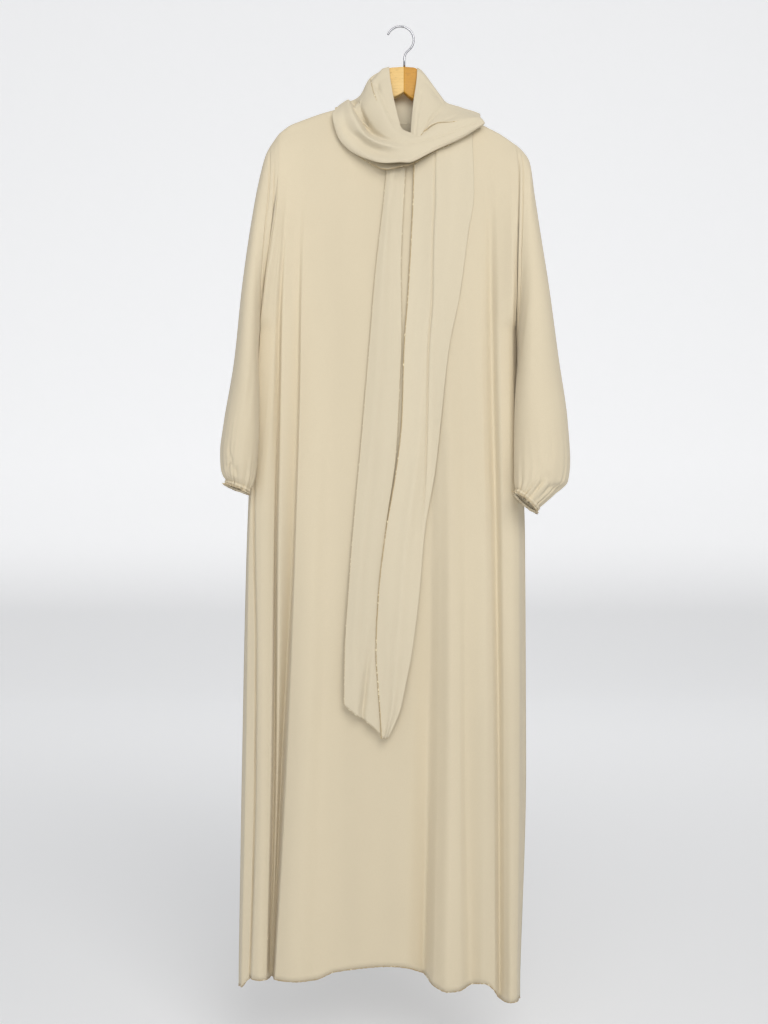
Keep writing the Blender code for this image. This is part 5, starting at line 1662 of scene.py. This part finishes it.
@dataclass
class Hanger:
    """The wooden hanger's two arms and its wire hook."""

    half_thick: float = 6.8
    tips: tuple[float, float] = (-194.0, 186.0)
    stations: tuple[float, ...] = (0.0, 0.18, 0.36, 0.56, 0.76, 0.93)    # from the neck to the tip
    neck_height: float = 25.0
    tip_height: float = 21.0
    neck_dip: float = 7.0
    tip_round: float = 4.0          # how far the tip is rounded above and below
    tip_sections: float = 0.5       # sections over which the tip gets thinner
    tip_blunt: float = 0.3          # square of its thickness at the very tip, as a share
    squareness: float = 0.18        # power that makes a section nearly square at the middle
    rounding: float = 0.45          # how much rounder the sections further out are
    round_from: float = 62.0        # distance from the middle where that starts
    round_over: float = 26.0        # distance over which it comes in
    end_share: float = 0.03         # how nearly the ends are closed
    sides: int = 64
    steps: int = 140
    wire: float = 1.7               # radius
    wire_sides: int = 24
    hook_radius: float = 22.0
    hook_arc: tuple[float, float] = (158.0, -50.0)      # degrees from its tip to its bend
    arc_steps: int = 110
    bend_steps: int = 40
    bend_drop: float = 6.0          # from the arc's end down to the corner that the bend rounds
    shank_x: float = 6.5
    shank_z: tuple[float, float] = (-53.0, -66.1)       # from the bend to its foot in the wood

    @staticmethod
    def seat_z(x: float) -> float:
        """Give the height of the wood's top, under the cloth at x."""
        return float(shoulder_z(np.array([x]))[0]) - ARM_SEAT

    def arm(self, name: str, node: str, sections: Rows, hand: Hand, finishes: Finishes) -> Thing:
        """Make one arm: a rounded bar carried from the middle to its tip.

        A section's point at an angle lies at its cosine and its sine, each raised to a power below 1
        with its sign kept, times half the thickness and half the height.

        Args:
            name: the piece's name.
            node: the CAD node that it stands for.
            sections: x, top and height up to the shoulder.
            hand: the side that it lies on.
            finishes: the materials.
        Returns:
            The new object.
        """
        neck, tip = (NECK_LEFT_X, self.tips[0]) if hand is Hand.LEFT else (NECK_RIGHT_X, self.tips[1])
        rows = list(sections)
        for share in self.stations:
            x = neck + (tip - neck) * share
            height = self.neck_height + (self.tip_height - self.neck_height) * share
            dip = self.neck_dip if share == 0.0 else 0.0
            rows.append((x, self.seat_z(x) - dip, height - dip))
        rows.append((tip, self.seat_z(tip) - self.tip_round, self.tip_height - 2 * self.tip_round))
        table = np.array(rows, float)
        place = np.linspace(0, len(table) - 1, self.steps)
        x, top, height = along(place, np.arange(len(table)), table).T
        angle = 2 * np.pi * np.arange(self.sides) / self.sides
        outer = ease((np.abs(x - HANGER_X) - self.round_from) / self.round_over)[:, None]
        power = self.squareness + self.rounding * outer
        round_y = np.sign(np.cos(angle)) * np.abs(np.cos(angle)) ** power
        round_z = np.sign(np.sin(angle)) * np.abs(np.sin(angle)) ** power
        left = (place[-1] - place) / self.tip_sections
        thick = self.half_thick * np.minimum(1, (left + self.tip_blunt) ** 0.5)
        middle = np.stack([x, arm_y(x), top - height / 2], axis=-1)
        ring = np.stack([np.zeros((len(x), self.sides)), thick[:, None] * round_y,
                         (height / 2)[:, None] * round_z], axis=-1)
        grid = capped(middle[:, None] + ring, middle, self.end_share)
        outward = grid - grid.mean(axis=1, keepdims=True)
        # Painted light and shade: the left arm gets the paler wood, the right arm the darker one
        finish = finishes.wood if hand is Hand.LEFT else finishes.shaded_amber_wood
        return dress(surface(name, grid, outward, finish, True, 0.0), Slot.WOOD, node)

    def hook(self, finishes: Finishes) -> Thing:
        """Make the wire hook: an arc, a bend round a corner, and the shank.

        The bend's point at a share t is (1 - t)^2 of the arc's end, 2 t (1 - t) of the corner and t^2
        of the shank's top.

        Args:
            finishes: the materials.
        Returns:
            The new object.
        """
        centre = self.wire - self.hook_radius
        angle = np.radians(np.linspace(*self.hook_arc, self.arc_steps))
        arc = np.stack([np.cos(angle), np.sin(angle)], axis=-1) * self.hook_radius + (0.0, centre)
        t = np.linspace(0, 1, self.bend_steps)[1:, None]
        corner = np.array([self.shank_x, arc[-1, 1] - self.bend_drop])
        top, foot = np.array([[self.shank_x, z] for z in self.shank_z])
        bend = (1 - t) ** 2 * arc[-1] + 2 * t * (1 - t) * corner + t * t * top
        flat = np.concatenate([arc, bend, foot[None]])
        path = np.stack([flat[:, 0], 0 * flat[:, 0], flat[:, 1]], axis=-1)
        radius = np.full(len(path), self.wire)
        piece = tube("hook", path, radius, finishes.wire, sides=self.wire_sides)
        return dress(piece, Slot.WIRE, "hanger_hook")

    def build(self, finishes: Finishes) -> list[Thing]:
        """Make the arms and the hook.

        Args:
            finishes: the materials.
        Returns:
            The new pieces.
        """
        return [self.arm("arm_left", "hanger_arm_left", LEFT_ARM, Hand.LEFT, finishes),
                self.arm("arm_right", "hanger_arm_right", RIGHT_ARM, Hand.RIGHT, finishes),
                self.hook(finishes)]


@dataclass(frozen=True)
class Lamp:
    """A round soft light that faces a point, in metres and watts."""

    name: str
    place: Point
    aim: Point
    size: float
    power: float
    colour: Colour = (1.0, 1.0, 1.0)

    def build(self) -> None:
        """Add the light, turned up from straight down and then round to face its point."""
        light = bpy.data.lights.new(self.name, "AREA")
        light.shape = "DISK"
        light.size = self.size
        light.energy = self.power
        light.color = self.colour
        thing = bpy.data.objects.new(self.name, light)
        way = np.array(self.aim, float) - np.array(self.place, float)
        thing.location = self.place
        thing.rotation_euler = (math.atan2(np.hypot(way[0], way[1]), -way[2]), 0.0,
                                math.atan2(way[1], way[0]) - math.pi / 2)
        bpy.context.collection.objects.link(thing)


@dataclass
class Studio:
    """The plain pale floor and backdrop, the soft lights and the camera, in metres."""

    eye: Point = (-0.027, -2.0, -0.7995)
    lens: float = 42.61
    floor_z: float = -1.72
    half_width: float = 9.0
    front_y: float = -7.0
    back_y: float = 5.0
    top_z: float = 4.0
    bend: float = 1.2               # radius between the floor and the wall
    bend_steps: int = 24
    columns: int = 8
    wall: Colour = (0.84, 0.845, 0.855)
    glow: float = 0.36
    wall_glow: Colour = (1.0, 1.0, 1.0)
    floor_glow: Colour = (0.165, 0.162, 0.158)
    glow_z: float = -0.9            # height where the wall's glow is reached
    glow_y: float = 3.2             # distance back where the floor's glow is at its brightest
    glow_far: float = 0.42          # how near it has come to the wall's there
    air: Colour = (0.97, 0.98, 1.0)
    air_strength: float = 0.42
    lamps: tuple[Lamp, ...] = (
        Lamp("key", (0.75, -2.9, 1.2), (-0.02, 0.0, -0.55), 2.4, 64.0, (1.0, 0.985, 0.96)),
        Lamp("fill", (-0.8, -3.0, -0.1), (0.0, 0.0, -0.7), 2.0, 23.0, (0.97, 0.985, 1.0)),
        Lamp("behind", (0.5, 3.0, 1.6), (0.0, 0.0, -0.7), 2.0, 14.0),
    )

    def wall_finish(self) -> Material:
        """Make the backdrop's paint, which glows less on the floor than up the wall.

        Returns:
            The material.
        """
        made, nodes, shader = new_material("backdrop")
        place = nodes.add("SeparateXYZ", {0: nodes.add("TexCoord").outputs["Object"]}).outputs
        far = nodes.times(nodes.ramp(place["Y"], 0.0, self.glow_y), self.glow_far)
        share = nodes.sum(nodes.ramp(place["Z"], self.floor_z, self.glow_z), far, "MAXIMUM")
        nodes.fill(shader, {
            "Base Color": (*self.wall, 1.0),
            "Roughness": 0.95,
            "Emission Color": nodes.blend(share, self.floor_glow, self.wall_glow),
            "Emission Strength": self.glow,
        })
        return made

    def backdrop(self) -> Thing:
        """Make the floor that bends up into the backdrop, by a quarter circle.

        Returns:
            The new object.
        """
        t = np.linspace(0, np.pi / 2, self.bend_steps)
        curve_y = self.back_y - self.bend + self.bend * np.sin(t)
        curve_z = self.floor_z + self.bend - self.bend * np.cos(t)
        y = np.concatenate([[self.front_y], curve_y, [self.back_y]])[:, None]
        z = np.concatenate([[self.floor_z], curve_z, [self.top_z]])[:, None]
        x = np.linspace(-self.half_width, self.half_width, self.columns)[None]
        grid = np.stack(np.broadcast_arrays(x, y, z), axis=-1) / MM
        made = self.wall_finish()
        thing = surface("backdrop", grid, np.array([0.0, -1.0, 1.0]), made, thick=0.0)
        return thing

    def build(self) -> None:
        """Set up the backdrop, the lights, the surroundings and the camera."""
        self.backdrop()
        for lamp in self.lamps:
            lamp.build()
        world = bpy.data.worlds.new("soft")
        world.use_nodes = True
        air = world.node_tree.nodes["Background"]
        air.inputs["Color"].default_value = (*self.air, 1.0)
        air.inputs["Strength"].default_value = self.air_strength
        scene = bpy.context.scene
        scene.world = world
        scene.view_settings.view_transform = "Standard"
        lens = bpy.data.cameras.new("camera")
        lens.lens = self.lens
        lens.sensor_width = 36.0
        lens.sensor_fit = "AUTO"
        lens.clip_start = 0.05
        lens.clip_end = 60.0
        camera = bpy.data.objects.new("camera", lens)
        camera.location = self.eye
        camera.rotation_euler = (math.pi / 2, 0.0, 0.0)
        bpy.context.collection.objects.link(camera)
        scene.camera = camera


def main() -> None:
    """Build the garment, its scarf, the hanger and the studio."""
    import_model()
    finishes = Finishes()
    Studio().build()
    front = Panel("abaya_front", "front_panel", Face.FRONT, FRONT_FOLDS, FRONT_CREASES, FRONT_NECK_DROP)
    back = Panel("abaya_back", "back_panel", Face.BACK, BACK_FOLDS, BACK_CREASES, BACK_NECK_DROP,
                 columns=180, flat=(0.58, 1.47), area=0.69)
    parts = [
        Hanger(),
        front,
        back,
        Sleeve("abaya_sleeve_left", "sleeve_left", "cuff_left", LEFT_SLEEVE, LEFT_ARMHOLE,
               LEFT_SLEEVE_CREASES, LEFT_SLEEVE_HOOPS, seed=3),
        Sleeve("abaya_sleeve_right", "sleeve_right", "cuff_right", RIGHT_SLEEVE, RIGHT_ARMHOLE,
               RIGHT_SLEEVE_CREASES, RIGHT_SLEEVE_HOOPS, seed=5, flat=(0.24, 0.58), area=0.114),
        Flow("scarf_front", ("scarf_cowl", "scarf_neck_left"), LEFT_FLOW, LEFT_FLOW_CREASES,
             flat=(0.34, 0.14), layered=True, fold_edge=(8.1, 2.1, 3.5)),
        Flow("scarf_over_right", ("scarf_neck_right",), RIGHT_FLOW, RIGHT_FLOW_CREASES,
             flat=(0.12, 0.12), layered=False, steps=120, across=84),
        Swag("scarf_behind", "scarf_back", BACK_STATIONS, SWAG_CREASES, Face.BACK,
             angles=(-98, 200), flat=(0.26, 0.13)),
        Tail("scarf_end_left", "scarf_tail_left", front, LEFT_TAIL, LEFT_TAIL_ENDS, LEFT_TAIL_LIFT,
             LEFT_TAIL_FOLDS, LEFT_TAIL_CREASES, flat=(0.055, 0.93), tip_lift=14.0, bright=False),
        Tail("scarf_end_right", "scarf_tail_right", front, RIGHT_TAIL, RIGHT_TAIL_ENDS, RIGHT_TAIL_LIFT,
             RIGHT_TAIL_FOLDS, RIGHT_TAIL_CREASES, flat=(0.08, 0.96), tip_lift=14.0, bright=True,
             top_lift=3.0, flush=3.4),
    ]
    for part in parts:
        for piece in part.build(finishes):
            LOG.info("%s: %d faces", piece.name, len(piece.data.polygons))


if __name__ == "__main__":
    logging.basicConfig(level=logging.INFO)
    main()
